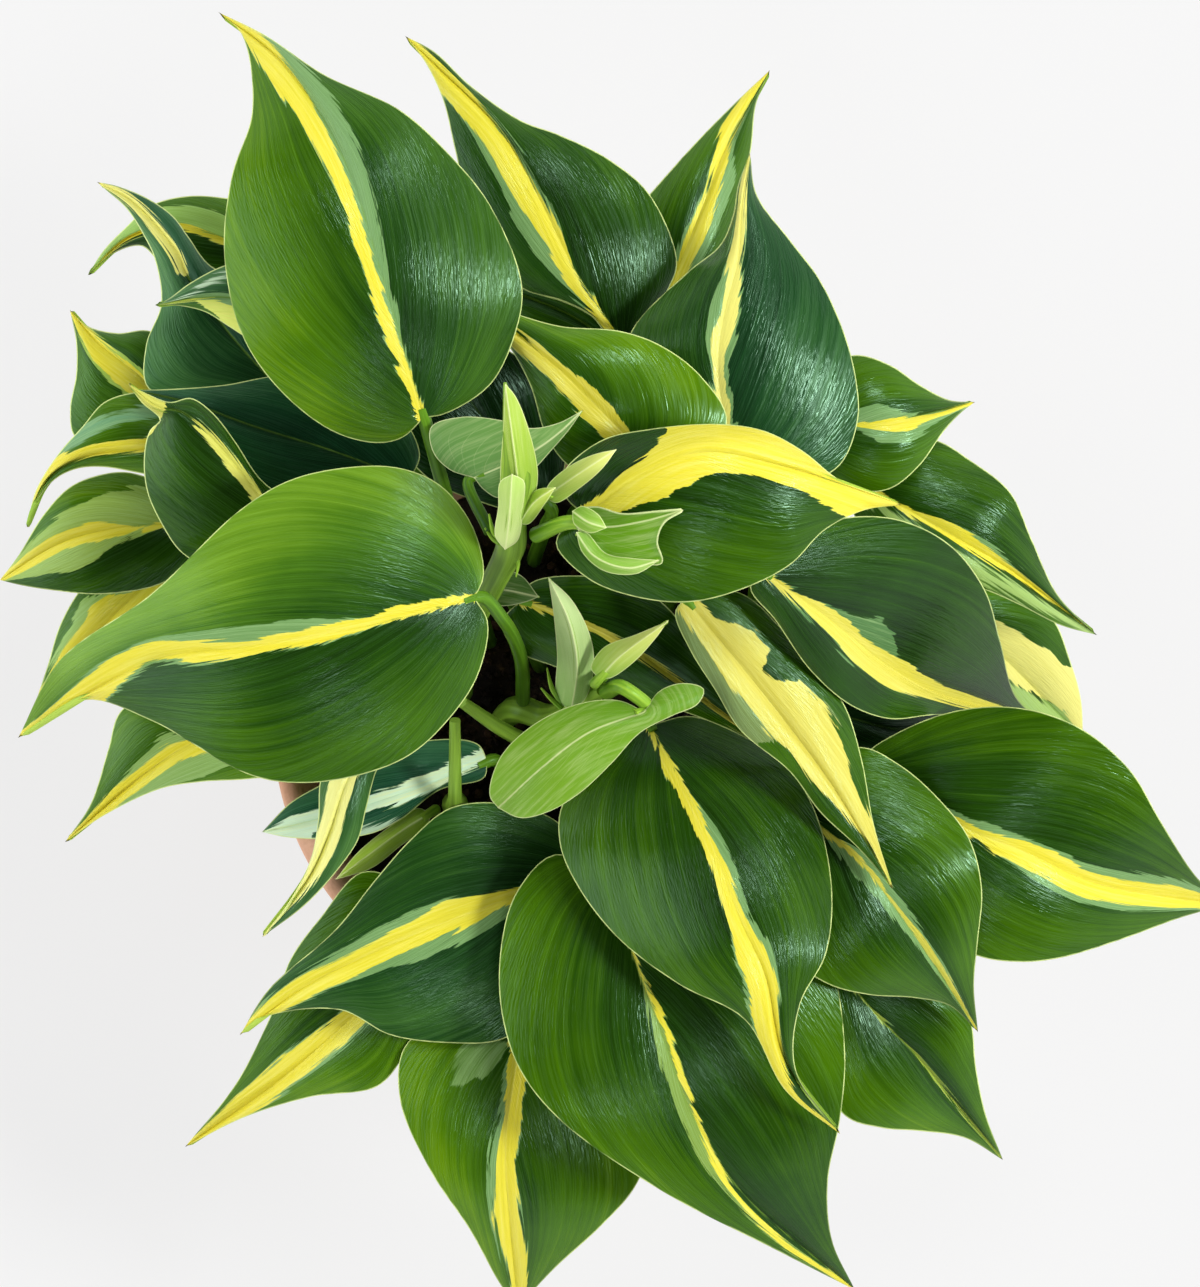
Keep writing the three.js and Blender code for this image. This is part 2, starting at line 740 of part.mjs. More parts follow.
function thickened(vertices, triangles) {
  const normals = vertices.map(() => new THREE.Vector3());
  const edge1 = new THREE.Vector3();
  const edge2 = new THREE.Vector3();
  for (const [a, b, c] of triangles) {
    edge1.subVectors(vertices[b], vertices[a]);
    edge2.subVectors(vertices[c], vertices[a]);
    const normal = new THREE.Vector3().crossVectors(edge1, edge2);
    for (const corner of [a, b, c]) normals[corner].add(normal);
  }
  const upward = normals.reduce((sum, normal) => sum + normal.z, 0) > 0 ? 1 : -1;
  const count = vertices.length;
  const under = vertices.map((point, i) => point.clone()
    .addScaledVector(normals[i].normalize(), -BLADE_THICKNESS * upward));
  const faces = [];
  const open = new Map();
  for (const [a, b, c] of triangles) {
    faces.push([a, b, c], [a + count, c + count, b + count]);
    for (const [from, to] of [[a, b], [b, c], [c, a]]) {
      if (!open.delete(`${to},${from}`)) open.set(`${from},${to}`, [from, to]);
    }
  }
  for (const [from, to] of open.values()) {
    faces.push([to, from, from + count], [to, from + count, to + count]);
  }
  return solidFrom([...vertices, ...under], faces);
}

function petiolePlaces(leaf, curves) {
  const base = place(leaf.rib[0], leaf.heights[0]);
  const ahead = bladePoint(leaf, curves, "left", 0.12, 0);
  const along = new THREE.Vector3().subVectors(ahead, base).normalize();
  const below = new THREE.Vector3(0, 0, -(BLADE_THICKNESS + PETIOLE_TIP_RADIUS) / 2);
  const inner = base.clone().addScaledVector(along, PETIOLE_INSET).add(below);
  const joint = base.clone().addScaledVector(along, -PETIOLE_BEND).add(below);
  const vias = (leaf.via ?? []).map((via) => place(via, via[2]));
  if (leaf.foot.length === 3) return [place(leaf.foot, leaf.foot[2]), ...vias, joint, inner];
  const foot = place(leaf.foot, SOIL_TOP - STEM_DEPTH);
  const collar = foot.clone().setZ(SOIL_TOP + SOIL_RELIEF + 1);
  if (leaf.via) return [foot, collar, ...vias, joint, inner];
  const arch = PETIOLE_ARCH.map(([out, up]) => collar.clone().lerp(joint, out)
    .setZ(THREE.MathUtils.lerp(collar.z, joint.z, up)));
  return [foot, collar, ...arch, joint, inner];
}

function leafMesh(leaf) {
  const base = leaf.rib[0];
  const tip = leaf.rib[leaf.rib.length - 1];
  const curves = {
    rib: planCurve(leaf.rib),
    left: planCurve([base, ...leaf.left, tip]),
    right: planCurve([base, ...leaf.right, tip]),
  };
  const rows = leaf.small ? 6 : 8;
  const columns = leaf.large ? 3 : 2;
  const blade = bladeSolid(leaf, curves, rows, columns);
  const places = petiolePlaces(leaf, curves);
  const slenderness = (leaf.small ? YOUNG_SLENDERNESS : 1) * (leaf.girth ?? 1);
  const last = places.length - 1;
  const radii = places.map((_, i) => slenderness
    * THREE.MathUtils.lerp(PETIOLE_FOOT_RADIUS, PETIOLE_TIP_RADIUS, i / last));
  const petiole = stemSolid(places, radii, PETIOLE_SIDES, 1);
  return meshFrom(leaf.name, blade.add(petiole), leafColor(leaf), 0.4);
}

function leafColor(leaf) {
  if (leaf.small) return LIME;
  if (/gold|yellow/.test(leaf.name)) return GOLD;
  return leaf.large ? GREEN : DARK_GREEN;
}

function vineMesh(vine) {
  const places = vine.path.map((point) => place(point, point[2]));
  return meshFrom(vine.name, stemSolid(places, vine.radii, VINE_SIDES, 2), STEM_GREEN, 0.45);
}

function turned(profile, segments) {
  const points = profile.map(([radius, height]) => new THREE.Vector2(radius, height));
  return new THREE.LatheGeometry(points, segments).rotateX(Math.PI / 2);
}

// The pot's inner wall follows its outer taper.
function innerRadius(height) {
  return THREE.MathUtils.mapLinear(height, POT_FLOOR, RIM_TOP, FOOT_RADIUS - POT_WALL, RIM_RADIUS - RIM_WALL);
}

function potMesh() {
  const rimFoot = RIM_TOP - RIM_DEPTH;
  const profile = [
    [0, 0],
    [FOOT_RADIUS - 1.5, 0],
    [FOOT_RADIUS, 1.5],
    [NECK_RADIUS - 1, rimFoot],
    [RIM_RADIUS - 3, rimFoot + 1],
    [RIM_RADIUS - 2.2, rimFoot + 3],
    [RIM_RADIUS, RIM_TOP - 4],
    [RIM_RADIUS - 0.8, RIM_TOP - 1.2],
    [RIM_RADIUS - 3, RIM_TOP],
    [RIM_RADIUS - RIM_WALL + 1.8, RIM_TOP - 0.6],
    [innerRadius(RIM_TOP - 4), RIM_TOP - 4],
    [innerRadius(POT_FLOOR + 3), POT_FLOOR + 3],
    [innerRadius(POT_FLOOR) - 2, POT_FLOOR],
    [0, POT_FLOOR],
  ];
  let pot = solidFromGeometry(turned(profile, POT_SEGMENTS));
  for (let i = 0; i < DRAIN_COUNT; i += 1) {
    const turn = (2 * Math.PI * i) / DRAIN_COUNT;
    const drain = new THREE.CylinderGeometry(DRAIN_RADIUS, DRAIN_RADIUS, 3 * POT_FLOOR, 12)
      .rotateX(Math.PI / 2)
      .translate(DRAIN_RING * Math.cos(turn), DRAIN_RING * Math.sin(turn), POT_FLOOR / 2);
    pot = pot.subtract(solidFromGeometry(drain));
  }
  return meshFrom("pot", pot, TERRACOTTA, 0.85);
}

function soilRelief(x, y) {
  const wide = Math.sin(x * 0.13 + 0.6) * Math.cos(y * 0.11 - 0.4);
  const fine = Math.sin(x * 0.31 - y * 0.23);
  return SOIL_RELIEF * (0.6 * wide + 0.3 * fine);
}

function stemHole([u, v], radius) {
  const bottom = SOIL_TOP - STEM_DEPTH - CLEARANCE;
  const height = 2 * STEM_DEPTH;
  const centre = place([u, v], SOIL_TOP - STEM_DEPTH);
  return new THREE.CylinderGeometry(radius, radius, height, VINE_SIDES)
    .rotateX(Math.PI / 2)
    .translate(centre.x, centre.y, bottom + height / 2);
}

function soilMesh() {
  const edge = innerRadius(SOIL_TOP) - CLEARANCE;
  const bottom = POT_FLOOR + CLEARANCE;
  const rings = [1, 0.75, 0.5, 0.25, 0];
  const profile = [
    [0, bottom],
    [innerRadius(POT_FLOOR) - 2.6, bottom],
    [innerRadius(POT_FLOOR + 3) - CLEARANCE, POT_FLOOR + 3.2],
    ...rings.map((ring) => [edge * ring, SOIL_TOP]),
  ];
  const geometry = turned(profile, 28);
  const places = geometry.getAttribute("position");
  for (let i = 0; i < places.count; i += 1) {
    const x = places.getX(i);
    const y = places.getY(i);
    const inside = Math.hypot(x, y) < edge * 0.9;
    if (places.getZ(i) > SOIL_TOP - 1 && inside) places.setZ(i, SOIL_TOP + soilRelief(x, y));
  }
  let soil = solidFromGeometry(geometry);
  for (const leaf of LEAVES.filter(({ foot }) => foot.length === 2)) {
    soil = soil.subtract(solidFromGeometry(stemHole(leaf.foot, PETIOLE_FOOT_RADIUS + 2 * CLEARANCE)));
  }
  for (const vine of VINES) {
    soil = soil.subtract(solidFromGeometry(stemHole(vine.path[0], vine.radii[0] + 3 * CLEARANCE)));
  }
  return meshFrom("soil", soil, SOIL_BROWN, 0.95);
}

const plant = new THREE.Group();
plant.add(potMesh(), soilMesh());
plant.add(...VINES.map(vineMesh));
plant.add(...LEAVES.map(leafMesh));

export default plant;
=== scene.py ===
import math

import bmesh
import bpy
import numpy as np

from mathutils import Matrix, Vector


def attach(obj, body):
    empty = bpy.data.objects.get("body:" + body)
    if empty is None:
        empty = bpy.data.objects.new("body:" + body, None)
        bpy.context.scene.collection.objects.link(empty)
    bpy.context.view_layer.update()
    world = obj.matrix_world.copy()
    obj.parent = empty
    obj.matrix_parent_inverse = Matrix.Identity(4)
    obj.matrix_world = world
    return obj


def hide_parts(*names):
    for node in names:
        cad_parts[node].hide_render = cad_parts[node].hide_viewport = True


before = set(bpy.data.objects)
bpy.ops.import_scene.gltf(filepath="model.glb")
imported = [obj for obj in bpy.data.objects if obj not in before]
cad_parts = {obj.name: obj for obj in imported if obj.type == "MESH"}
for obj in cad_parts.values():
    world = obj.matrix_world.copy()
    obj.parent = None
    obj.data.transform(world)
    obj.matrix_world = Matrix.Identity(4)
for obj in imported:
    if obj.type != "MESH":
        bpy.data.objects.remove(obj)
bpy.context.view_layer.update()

MM = 0.001

# The pot's rim is the driving size, as in the part's own solids.
RIM_RADIUS = 70
RIM_TOP = 125
RIM_DEPTH = 24
RIM_WALL = 7
FOOT_RADIUS = 47
POT_WALL = 6
POT_FLOOR = 8
NECK_RADIUS = 64
DRAIN_RADIUS = 5
DRAIN_RING = 22
DRAIN_COUNT = 3
EDGE_SOFTNESS = 1.6

# The soil. Loose crumbs on it: how many on a square millimetre, least and most half sizes, and the draw.
SOIL_TOP = 112
SOIL_RELIEF = 1.6
CLEARANCE = 0.4
STEM_DEPTH = 10
BED_MARGIN = 3.5
GRAINS = (0.12, (0.5, 0.5, 0.4), (1.4, 1.2, 1.0), 5)
BARK_CHIPS = (0.012, (1.2, 1.0, 0.6), (3.0, 2.2, 1.2), 8)

# How finely things are cut up.
POT_SIDES = 160
DRAIN_SIDES = 32
SOIL_RINGS = 50
BED_SIDES = 48
BED_RINGS = 12
BLADE_ROWS = 72
BLADE_COLUMNS = 18
LINE_STEPS = 40
STEM_SIDES = 14
STEM_STEPS = 10

# Blades: how they arch, how thick they are, and the rib in their middle.
BLADE_CROWN = 1.6
EDGE_FALL = 1.6
SWELL_POWER = 0.7
WAVE_HEIGHT = 0.8
WAVE_COUNT = 2.5
CAD_THICKNESS = 0.8
MARGIN_THICKNESS = 0.35
CENTRE_THICKNESS = 0.2
RIB_THICKNESS = 1.1
RIB_WIDTH = 0.8
RIB_GROOVE = 0.12
RIDGE_WIDTH = 1.1
RIDGE_FALL = 0.6
YOUNG_RIB = 0.5

# Veins leave the rib at a slant and run out towards the tip, that share of the outline's length.
VEIN_SWEEP = 1.7
VEIN_LAG = 0.72
VEIN_BEND = 0.85
VEIN_COUNT = 7
VEIN_WIDTH = 0.045

# Petioles and stems.
PETIOLE_FOOT_RADIUS = 1.9
PETIOLE_TIP_RADIUS = 1.5
PETIOLE_INSET = 3
PETIOLE_BEND = 1.5
PETIOLE_ARCH = [(0.3, 0.42), (0.7, 0.8)]
BASE_STEP = 0.12
YOUNG_SLENDERNESS = 0.75
STEM_STRIPES = 2.2

# What sets the noise of one half, and of one blade by where its base lies, apart from another's.
SIDE_SHIFT = 400
SEED_STEPS = (0.37, 0.11)
# How fast the stripe's ragged edge calms down towards a blade's tip.
TIP_CALM = 6
# How far outside a marking a blade without one is, and how bright a blade is that says nothing.
NO_BAND = -50.0
PLAIN_BRIGHT = (0.4, 0.4)
# A glint on the wax takes a little of the leaf's green.
WAX_TINT = (0.6, 1.0, 0.72)

# The room's light; the floor mostly shines by itself.
SKY_TOP = 0.55
SKY_RING = 0.2
SKY_DARK = 0.07
SKY_BRIGHT = 1.35
FLOOR_SHARE = 0.15
FLOOR_LIGHT = 0.95
FLOOR_REACH = 4.0
# The room's windows: name, degrees off the vertical, heading from +X, metres across, watts.
LIGHTS = [
    ("key_light", 46, 0, 0.38, 19),
    ("back_light", 36, 62, 0.38, 9),
    ("front_light", 31, -84, 0.38, 3),
    ("left_light", 66, 178, 1.6, 18),
]
LIGHT_DISTANCE = 1.6
FOLIAGE_HEIGHT = 160

# Plan places are pixels of the view from straight above, which the camera repeats.
IMAGE_WIDTH = 1200
IMAGE_HEIGHT = 1287
RIM_CENTRE_PIXEL = (560, 725)
RIM_RADIUS_PIXELS = 289
EYE_PIXEL = (IMAGE_WIDTH / 2, IMAGE_HEIGHT / 2)
EYE_HEIGHT = 1300
MM_PER_PIXEL = RIM_RADIUS / RIM_RADIUS_PIXELS
EYE_X = (EYE_PIXEL[0] - RIM_CENTRE_PIXEL[0]) * MM_PER_PIXEL
EYE_Y = (RIM_CENTRE_PIXEL[1] - EYE_PIXEL[1]) * MM_PER_PIXEL
SENSOR_WIDTH = 36

# Every leaf with its petiole. rib, left and right run from base to tip in plan pixels; heights are
# the rib's height at base, middle and tip; edges are how far the left and right edges rise or fall;
# foot is the petiole's foot, in the soil or, with a third number, at that height beside a vine; via
# are places that the petiole passes, and girth is how stout it is beside the others.
# stripe is (rib fraction, silver from, gold from, gold to, silver to), in plan pixels from the rib and
# below zero on the left half, or (rib fraction, from, to) where no silver shows beside the gold; patch
# is a second pale band. gold, silver and patch_tint are their colours, and tint a young blade's own
# from base to tip. bright and cool are how light and how bluish the left and right half are; bright is
# mostly the half's own tone, but on some blades it is painted light or painted shade.
LEAVES = [
    dict(name="leaf_top_left", heights=(205, 216, 186), edges=(-7, -6), foot=(490, 640), large=True,
         rib=[(424, 418), (392, 310), (340, 150), (282, 62), (218, 12)],
         left=[(402, 438), (375, 443), (330, 430), (275, 385), (240, 330), (224, 250), (232, 175),
               (252, 112), (242, 35)],
         right=[(445, 414), (490, 385), (515, 335), (522, 285), (490, 205), (450, 155), (400, 110),
                (325, 75), (265, 35)],
         stripe=[(0, -7, 1), (0.1, -10, -10, 1, 2), (0.2, -15, -14, -3, 2), (0.3, -18, -17, -4, 7),
                 (0.4, -19, -18, -5, 15), (0.5, -21, -20, -5, 18), (0.6, -21, -20, -2, 21),
                 (0.7, -24, -23, 1, 16), (0.8, -18, -17, 5, 11), (0.9, -6, -5, 9, 12), (1, -2, 3)],
         bright=(0.62, 0.42), cool=(0, 0.15)),
    dict(name="leaf_top_middle", heights=(176, 184, 168), edges=(-5, -4), foot=(610, 560), large=True,
         rib=[(625, 345), (575, 270), (540, 200), (500, 130), (440, 70), (405, 36)],
         left=[(610, 338), (590, 315), (560, 300), (525, 290), (495, 262), (470, 210), (455, 150),
               (443, 100), (425, 62)],
         right=[(648, 322), (668, 290), (677, 262), (650, 195), (610, 160), (560, 135), (520, 120),
                (470, 85), (435, 52)],
         stripe=[(0, -8, 0), (0.1, -10, 0), (0.2, -22, -13, 0, 1), (0.3, -30, -14, 5, 5),
                 (0.4, -33, -20, 2, 5), (0.5, -29, -20, 1, 4), (0.6, -26, -20, -1, 3), (0.7, -18, 4),
                 (0.8, -17, -14, 5, 5), (0.9, -8, 5), (1, -1, 2)],
         bright=(0.32, 0.3), cool=(0.15, 0.05)),
    dict(name="leaf_top_right", heights=(190, 194, 188), edges=(-9, -8), foot=(665, 610), large=True,
         rib=[(735, 470), (718, 370), (725, 310), (738, 260), (742, 205), (750, 153)],
         left=[(712, 482), (665, 470), (635, 430), (622, 375), (632, 330), (690, 270), (720, 245),
               (733, 215), (738, 185)],
         right=[(760, 485), (800, 485), (840, 465), (858, 420), (857, 385), (845, 335), (820, 280),
                (790, 240), (757, 195)],
         stripe=[(0, -10, -8, 8, 12), (0.2, -8, -6, 6, 10), (0.3, -16, -9, 10, 16), (0.4, -16, -3, 13, 14),
                 (0.5, -12, -7, 8, 10), (0.6, -12, -11, 3, 4), (0.7, -9, -7, 5, 6), (0.8, -5, -4, 4, 4),
                 (0.9, -6, -5, 1, 1), (1, -2, -1, 1, 1)],
         gold=(222, 216, 110), bright=(0.4, 0.35), cool=(0.2, 0.55)),
    dict(name="leaf_top_right_back", heights=(162, 164, 150), edges=(-4, -5), foot=(640, 520),
         rib=[(660, 310), (685, 250), (705, 200), (725, 150), (770, 70)],
         left=[(645, 330), (618, 300), (615, 250), (632, 215), (655, 188), (700, 138), (740, 98)],
         right=[(680, 328), (705, 300), (727, 250), (740, 195), (751, 150), (756, 105)],
         stripe=[(0, -6, -4, 10, 20), (0.2, -8, -4, 12, 22), (0.3, -9, -5, 13, 24), (0.4, -5, -3, 13, 26),
                 (0.5, -3, -2, 11, 24), (0.6, -4, -3, 10, 22), (0.7, -8, -7, 7, 15), (0.8, -13, -13, 0, 3),
                 (0.9, -12, -12, -1, 0), (1, -2, 0)],
         bright=(0.5, 0.5)),
    dict(name="leaf_centre_gold", heights=(213, 221, 200), edges=(-8, -8), foot=(572, 553), large=True,
         rib=[(585, 515), (640, 475), (700, 452), (790, 468), (902, 505)],
         left=[(566, 498), (562, 475), (600, 441), (650, 429), (720, 424), (765, 431), (803, 451),
               (840, 480), (880, 495)],
         right=[(563, 528), (556, 545), (590, 580), (640, 598), (690, 602), (740, 590), (790, 565),
                (825, 530), (865, 510)],
         stripe=[(0, -9, 6), (0.1, -6, 20), (0.2, -12, 27), (0.3, -15, 31), (0.4, -26, 30),
                 (0.45, -60, 28), (0.5, -60, 25), (0.6, -60, 18), (0.7, -60, 17), (0.8, -60, 21),
                 (0.9, -60, 30), (1, -60, 30)],
         bright=(0.2, 0.34)),
    dict(name="leaf_top_under", heights=(198, 203, 194), edges=(-4, -3), foot=(590, 600),
         rib=[(640, 450), (600, 410), (560, 370), (470, 300)],
         left=[(620, 475), (575, 470), (548, 440), (530, 385), (508, 345)],
         right=[(668, 470), (705, 458), (727, 420), (700, 375), (660, 345), (620, 331), (560, 326),
                (510, 312)],
         stripe=[(0, -16, -14, 4, 4), (0.2, -17, 8), (0.3, -16, 13), (0.4, -17, 12),
                 (0.5, -17, -16, 10, 10), (0.6, -18, -17, 7, 7), (0.7, -15, -14, 4, 4), (1, -8, 4)],
         gold=(190, 180, 50), bright=(0.4, 0.6)),
    dict(name="leaf_top_sliver", heights=(160, 162, 154), edges=(-3, -3), foot=(575, 515),
         rib=[(665, 390), (620, 350), (570, 315), (480, 280)],
         left=[(640, 400), (590, 385), (545, 350), (510, 318)],
         right=[(680, 370), (650, 335), (600, 305), (545, 285)]),
    dict(name="leaf_right_small", heights=(174, 178, 164), edges=(-4, -4), foot=(725, 590),
         rib=[(800, 430), (855, 425), (900, 420), (975, 402)],
         left=[(795, 405), (820, 370), (855, 355), (890, 365), (920, 385), (950, 400)],
         right=[(800, 462), (835, 485), (866, 492), (892, 488), (920, 465), (945, 430), (962, 412)],
         stripe=[(0, -16, -1, 1, 3), (0.3, -17, -1, 2, 4), (0.4, -18, -2, 4, 11), (0.5, -18, -2, 7, 20),
                 (0.6, -16, -2, 12, 22), (0.7, -6, -2, 13, 24), (0.8, -1, 2, 8, 14), (0.9, 0, 0, 5, 7),
                 (1, -1, 2)],
         bright=(0.45, 0.45)),
    dict(name="leaf_right_back", heights=(158, 158, 128), edges=(-5, -5), foot=(750, 640), large=True,
         rib=[(860, 480), (905, 508), (960, 540), (1010, 570), (1097, 635)],
         left=[(868, 462), (900, 443), (935, 440), (970, 460), (1010, 492), (1032, 540), (1058, 595)],
         right=[(850, 500), (870, 540), (910, 570), (950, 582), (985, 590), (1020, 605), (1060, 625)],
         stripe=[(0, -2, 3), (0.2, -2, 4), (0.3, -4, 5), (0.4, -10, 5), (0.5, -12, -11, 5, 5),
                 (0.6, -12, -8, 4, 4), (0.7, -8, -5, 4, 4), (0.8, -3, -2, 3, 3), (0.9, -1, 1), (1, 0, 0)],
         patch=[(0.3, 9, 18), (0.5, 12, 26), (0.6, 9, 28), (0.7, 11, 25), (0.8, 9, 21), (0.9, 4, 12),
                (1, 0, 4)],
         bright=(0.4, 0.5)),
    dict(name="leaf_right_yellow", heights=(122, 108, 92), edges=(-3, -3), foot=(765, 690),
         via=[(820, 672, 134)],
         rib=[(955, 620), (1000, 655), (1045, 700), (1083, 738)],
         left=[(978, 590), (1012, 592), (1052, 618), (1070, 660), (1081, 700)],
         right=[(945, 645), (960, 690), (1005, 720), (1055, 735)],
         stripe=[(0, -24, 14), (0.3, -28, 14), (0.4, -30, 12), (0.5, -37, 10), (0.6, -37, 4),
                 (0.7, -50, -3), (0.8, -60, -8), (1, -60, 0)],
         patch=[(0.3, 14, 60), (0.5, 10, 60), (0.6, 4, 60), (0.7, -3, 60), (0.8, -8, 60), (1, 0, 60)],
         gold=(222, 216, 120), bright=(0.4, 0.5)),
    dict(name="leaf_right_middle", heights=(194, 162, 104), edges=(-6, -7), foot=(752, 602), large=True,
         rib=[(760, 570), (830, 620), (880, 660), (930, 690), (1040, 722)],
         left=[(768, 552), (800, 530), (850, 517), (900, 520), (950, 545), (985, 590), (1000, 640),
               (1015, 695)],
         right=[(750, 588), (775, 620), (810, 670), (850, 705), (890, 719), (935, 715), (990, 717)],
         stripe=[(0, -2, 3), (0.1, -4, -3, 5, 6), (0.2, -10, -9, 10, 12), (0.3, -17, -10, 12, 14),
                 (0.4, -33, -8, 18, 20), (0.5, -28, -11, 17, 18), (0.55, -14, -12, 17, 17), (0.6, -13, 15),
                 (0.7, -11, 11), (0.8, -9, 6), (1, -3, 3)],
         gold=(214, 205, 78), silver=(84, 126, 70), bright=(0.22, 0.28)),
    dict(name="leaf_right_large", heights=(145, 153, 116), edges=(4, -7), foot=(775, 745), large=True,
         rib=[(880, 770), (970, 830), (1020, 850), (1100, 885), (1225, 905)],
         left=[(868, 754), (893, 735), (955, 711), (1020, 708), (1080, 728), (1130, 770), (1160, 820),
               (1195, 875)],
         right=[(862, 790), (870, 850), (905, 910), (975, 955), (1020, 962), (1060, 958), (1120, 940),
                (1180, 918)],
         stripe=[(0, -3, 3), (0.2, -8, -4, 5, 5), (0.3, -15, -6, 8, 8), (0.4, -13, -8, 14, 14),
                 (0.5, -14, -9, 15, 18), (0.6, -16, -12, 14, 21), (0.7, -17, -11, 16, 22),
                 (0.8, -19, -12, 13, 20), (0.9, -20, -12, 9, 12), (1, -6, -5, 5, 6)]),
    dict(name="leaf_centre_yellow", heights=(186, 176, 168), edges=(-3, -7), foot=(698, 607), large=True,
         rib=[(685, 598), (740, 665), (790, 728), (835, 790), (893, 888)],
         left=[(675, 612), (690, 650), (715, 690), (740, 730), (790, 772), (820, 812), (858, 848)],
         right=[(705, 588), (745, 595), (790, 638), (823, 674), (846, 708), (862, 760), (874, 825)],
         stripe=[(0, -60, -14, 8, 8), (0.1, -60, -15, 11, 11), (0.2, -60, -16, 32, 32),
                 (0.28, -60, -19, 30, 30), (0.3, -60, -20, 14, 14), (0.36, -60, -20, 18, 18),
                 (0.4, -60, -20, 36, 36), (0.45, -60, -21, 38, 38), (0.5, -20, 41), (0.6, -14, 39),
                 (0.7, -14, 27), (0.8, -6, 16), (0.9, 3, 14), (1, -2, 2)],
         gold=(206, 197, 84), silver=(120, 140, 80)),
    dict(name="leaf_centre_dark", heights=(170, 168, 158), edges=(-3, -6), foot=(540, 665), large=True,
         rib=[(520, 600), (593, 628), (639, 654), (713, 705), (793, 766)],
         left=[(532, 582), (590, 576), (640, 588), (672, 612), (700, 655), (728, 690), (765, 735)],
         right=[(502, 622), (514, 649), (558, 668), (620, 692), (690, 714), (740, 735)],
         stripe=[(0, -4, 4), (0.3, -4, 4), (0.5, -3, 5), (0.7, -2, 4), (0.9, -2, 4), (1, -1, 1)],
         gold=(190, 180, 60), bright=(0.3, 0.3)),
    dict(name="leaf_lower_right", heights=(154, 160, 134), edges=(-3, -6), foot=(735, 765), large=True,
         rib=[(790, 790), (820, 825), (850, 850), (900, 915), (978, 1032)],
         left=[(808, 768), (860, 747), (900, 765), (940, 800), (970, 840), (982, 890), (978, 940),
               (974, 985)],
         right=[(768, 802), (752, 850), (770, 920), (800, 965), (830, 985), (870, 995), (915, 998),
                (950, 1006)],
         stripe=[(0, 0, 4), (0.2, 0, 6), (0.3, 0, 5), (0.4, -1, -1, 3, 8), (0.5, -7, -3, 2, 11),
                 (0.6, -11, -4, 1, 11), (0.7, -11, -4, 0, 10), (0.8, -10, -6, -1, 6), (0.9, -7, -6, -1, 2),
                 (1, -1, 1)],
         gold=(214, 206, 70), bright=(0.45, 0.45)),
    dict(name="leaf_bottom_centre", heights=(150, 176, 152), edges=(-4, -6), foot=(632, 760), large=True,
         rib=[(650, 725), (680, 780), (710, 840), (740, 920), (765, 975), (785, 1060), (840, 1134)],
         left=[(690, 716), (740, 734), (786, 764), (817, 816), (832, 890), (826, 954), (800, 1005),
               (796, 1070)],
         right=[(622, 735), (590, 770), (562, 805), (560, 845), (580, 890), (620, 940), (680, 985),
                (745, 1020), (785, 1090)],
         stripe=[(0, 0, 5), (0.1, -2, 9), (0.2, -2, 10), (0.3, -8, -3, 10, 10), (0.4, -16, -7, 10, 10),
                 (0.5, -9, -5, 12, 13), (0.6, -16, -9, 21, 24), (0.7, -11, -9, 20, 24),
                 (0.8, -3, -2, 22, 25), (0.9, 9, 22), (1, -1, 3)],
         bright=(0.35, 0.4)),
    dict(name="leaf_bottom_large", heights=(150, 152, 112), edges=(-5, -3), foot=(622, 835), large=True,
         rib=[(610, 890), (635, 960), (660, 1030), (690, 1110), (740, 1190), (855, 1290)],
         left=[(650, 868), (720, 868), (785, 900), (828, 955), (845, 1050), (840, 1120), (828, 1180),
               (832, 1240)],
         right=[(585, 862), (552, 855), (515, 895), (500, 955), (502, 1015), (520, 1070), (560, 1120),
                (660, 1190), (780, 1252)],
         stripe=[(0, -3, 1), (0.2, -5, -5, 1, 2), (0.3, -7, -7, 0, 3), (0.4, -10, -10, -4, 7),
                 (0.5, -9, -9, -3, 10), (0.6, -7, -7, -2, 12), (0.7, -3, -2, 4, 14), (0.8, 3, 4, 9, 12),
                 (0.9, 6, 7, 12, 13), (1, -1, 2)],
         silver=(130, 160, 70), bright=(0.4, 0.5)),
    dict(name="leaf_bottom_edge", heights=(134, 132, 104), edges=(-5, -4), foot=(575, 905), large=True,
         rib=[(525, 1010), (515, 1070), (505, 1150), (510, 1230), (518, 1307)],
         left=[(565, 1000), (620, 1030), (652, 1080), (652, 1140), (635, 1187), (600, 1227), (555, 1268)],
         right=[(495, 998), (445, 1016), (404, 1048), (400, 1100), (430, 1170), (470, 1230), (500, 1284)],
         stripe=[(0, -12, 9), (0.2, -12, -12, 9, 10), (0.3, -13, -12, 8, 12), (0.4, -15, -14, 6, 11),
                 (0.5, -13, -12, 8, 16), (0.6, -11, -10, 12, 18), (0.7, -11, -10, 16, 17),
                 (0.8, -12, -12, 11, 13), (0.9, -12, -12, 5, 6), (1, -9, 5)],
         patch=[(0.05, 20, 48), (0.15, 16, 52), (0.22, 12, 60), (0.27, 24, 62), (0.33, 58, 62),
                (0.4, 70, 62)],
         patch_tint=(95, 135, 60), bright=(0.6, 0.65)),
    dict(name="leaf_lower_left", heights=(136, 143, 130), edges=(-4, -2), foot=(572, 825), large=True,
         rib=[(580, 870), (520, 895), (450, 920), (380, 950), (300, 990), (240, 1035)],
         left=[(592, 900), (575, 960), (545, 1012), (500, 1040), (450, 1043), (390, 1035), (340, 1010),
               (262, 1018)],
         right=[(575, 845), (555, 820), (500, 803), (450, 808), (410, 840), (375, 880), (335, 930),
                (268, 990)],
         stripe=[(0, -4, -3, 4, 4), (0.1, -8, -4, 6, 6), (0.2, -13, -5, 8, 8), (0.3, -22, -10, 12, 12),
                 (0.4, -27, -13, 20, 21), (0.5, -28, -14, 12, 23), (0.6, -20, -13, 10, 22),
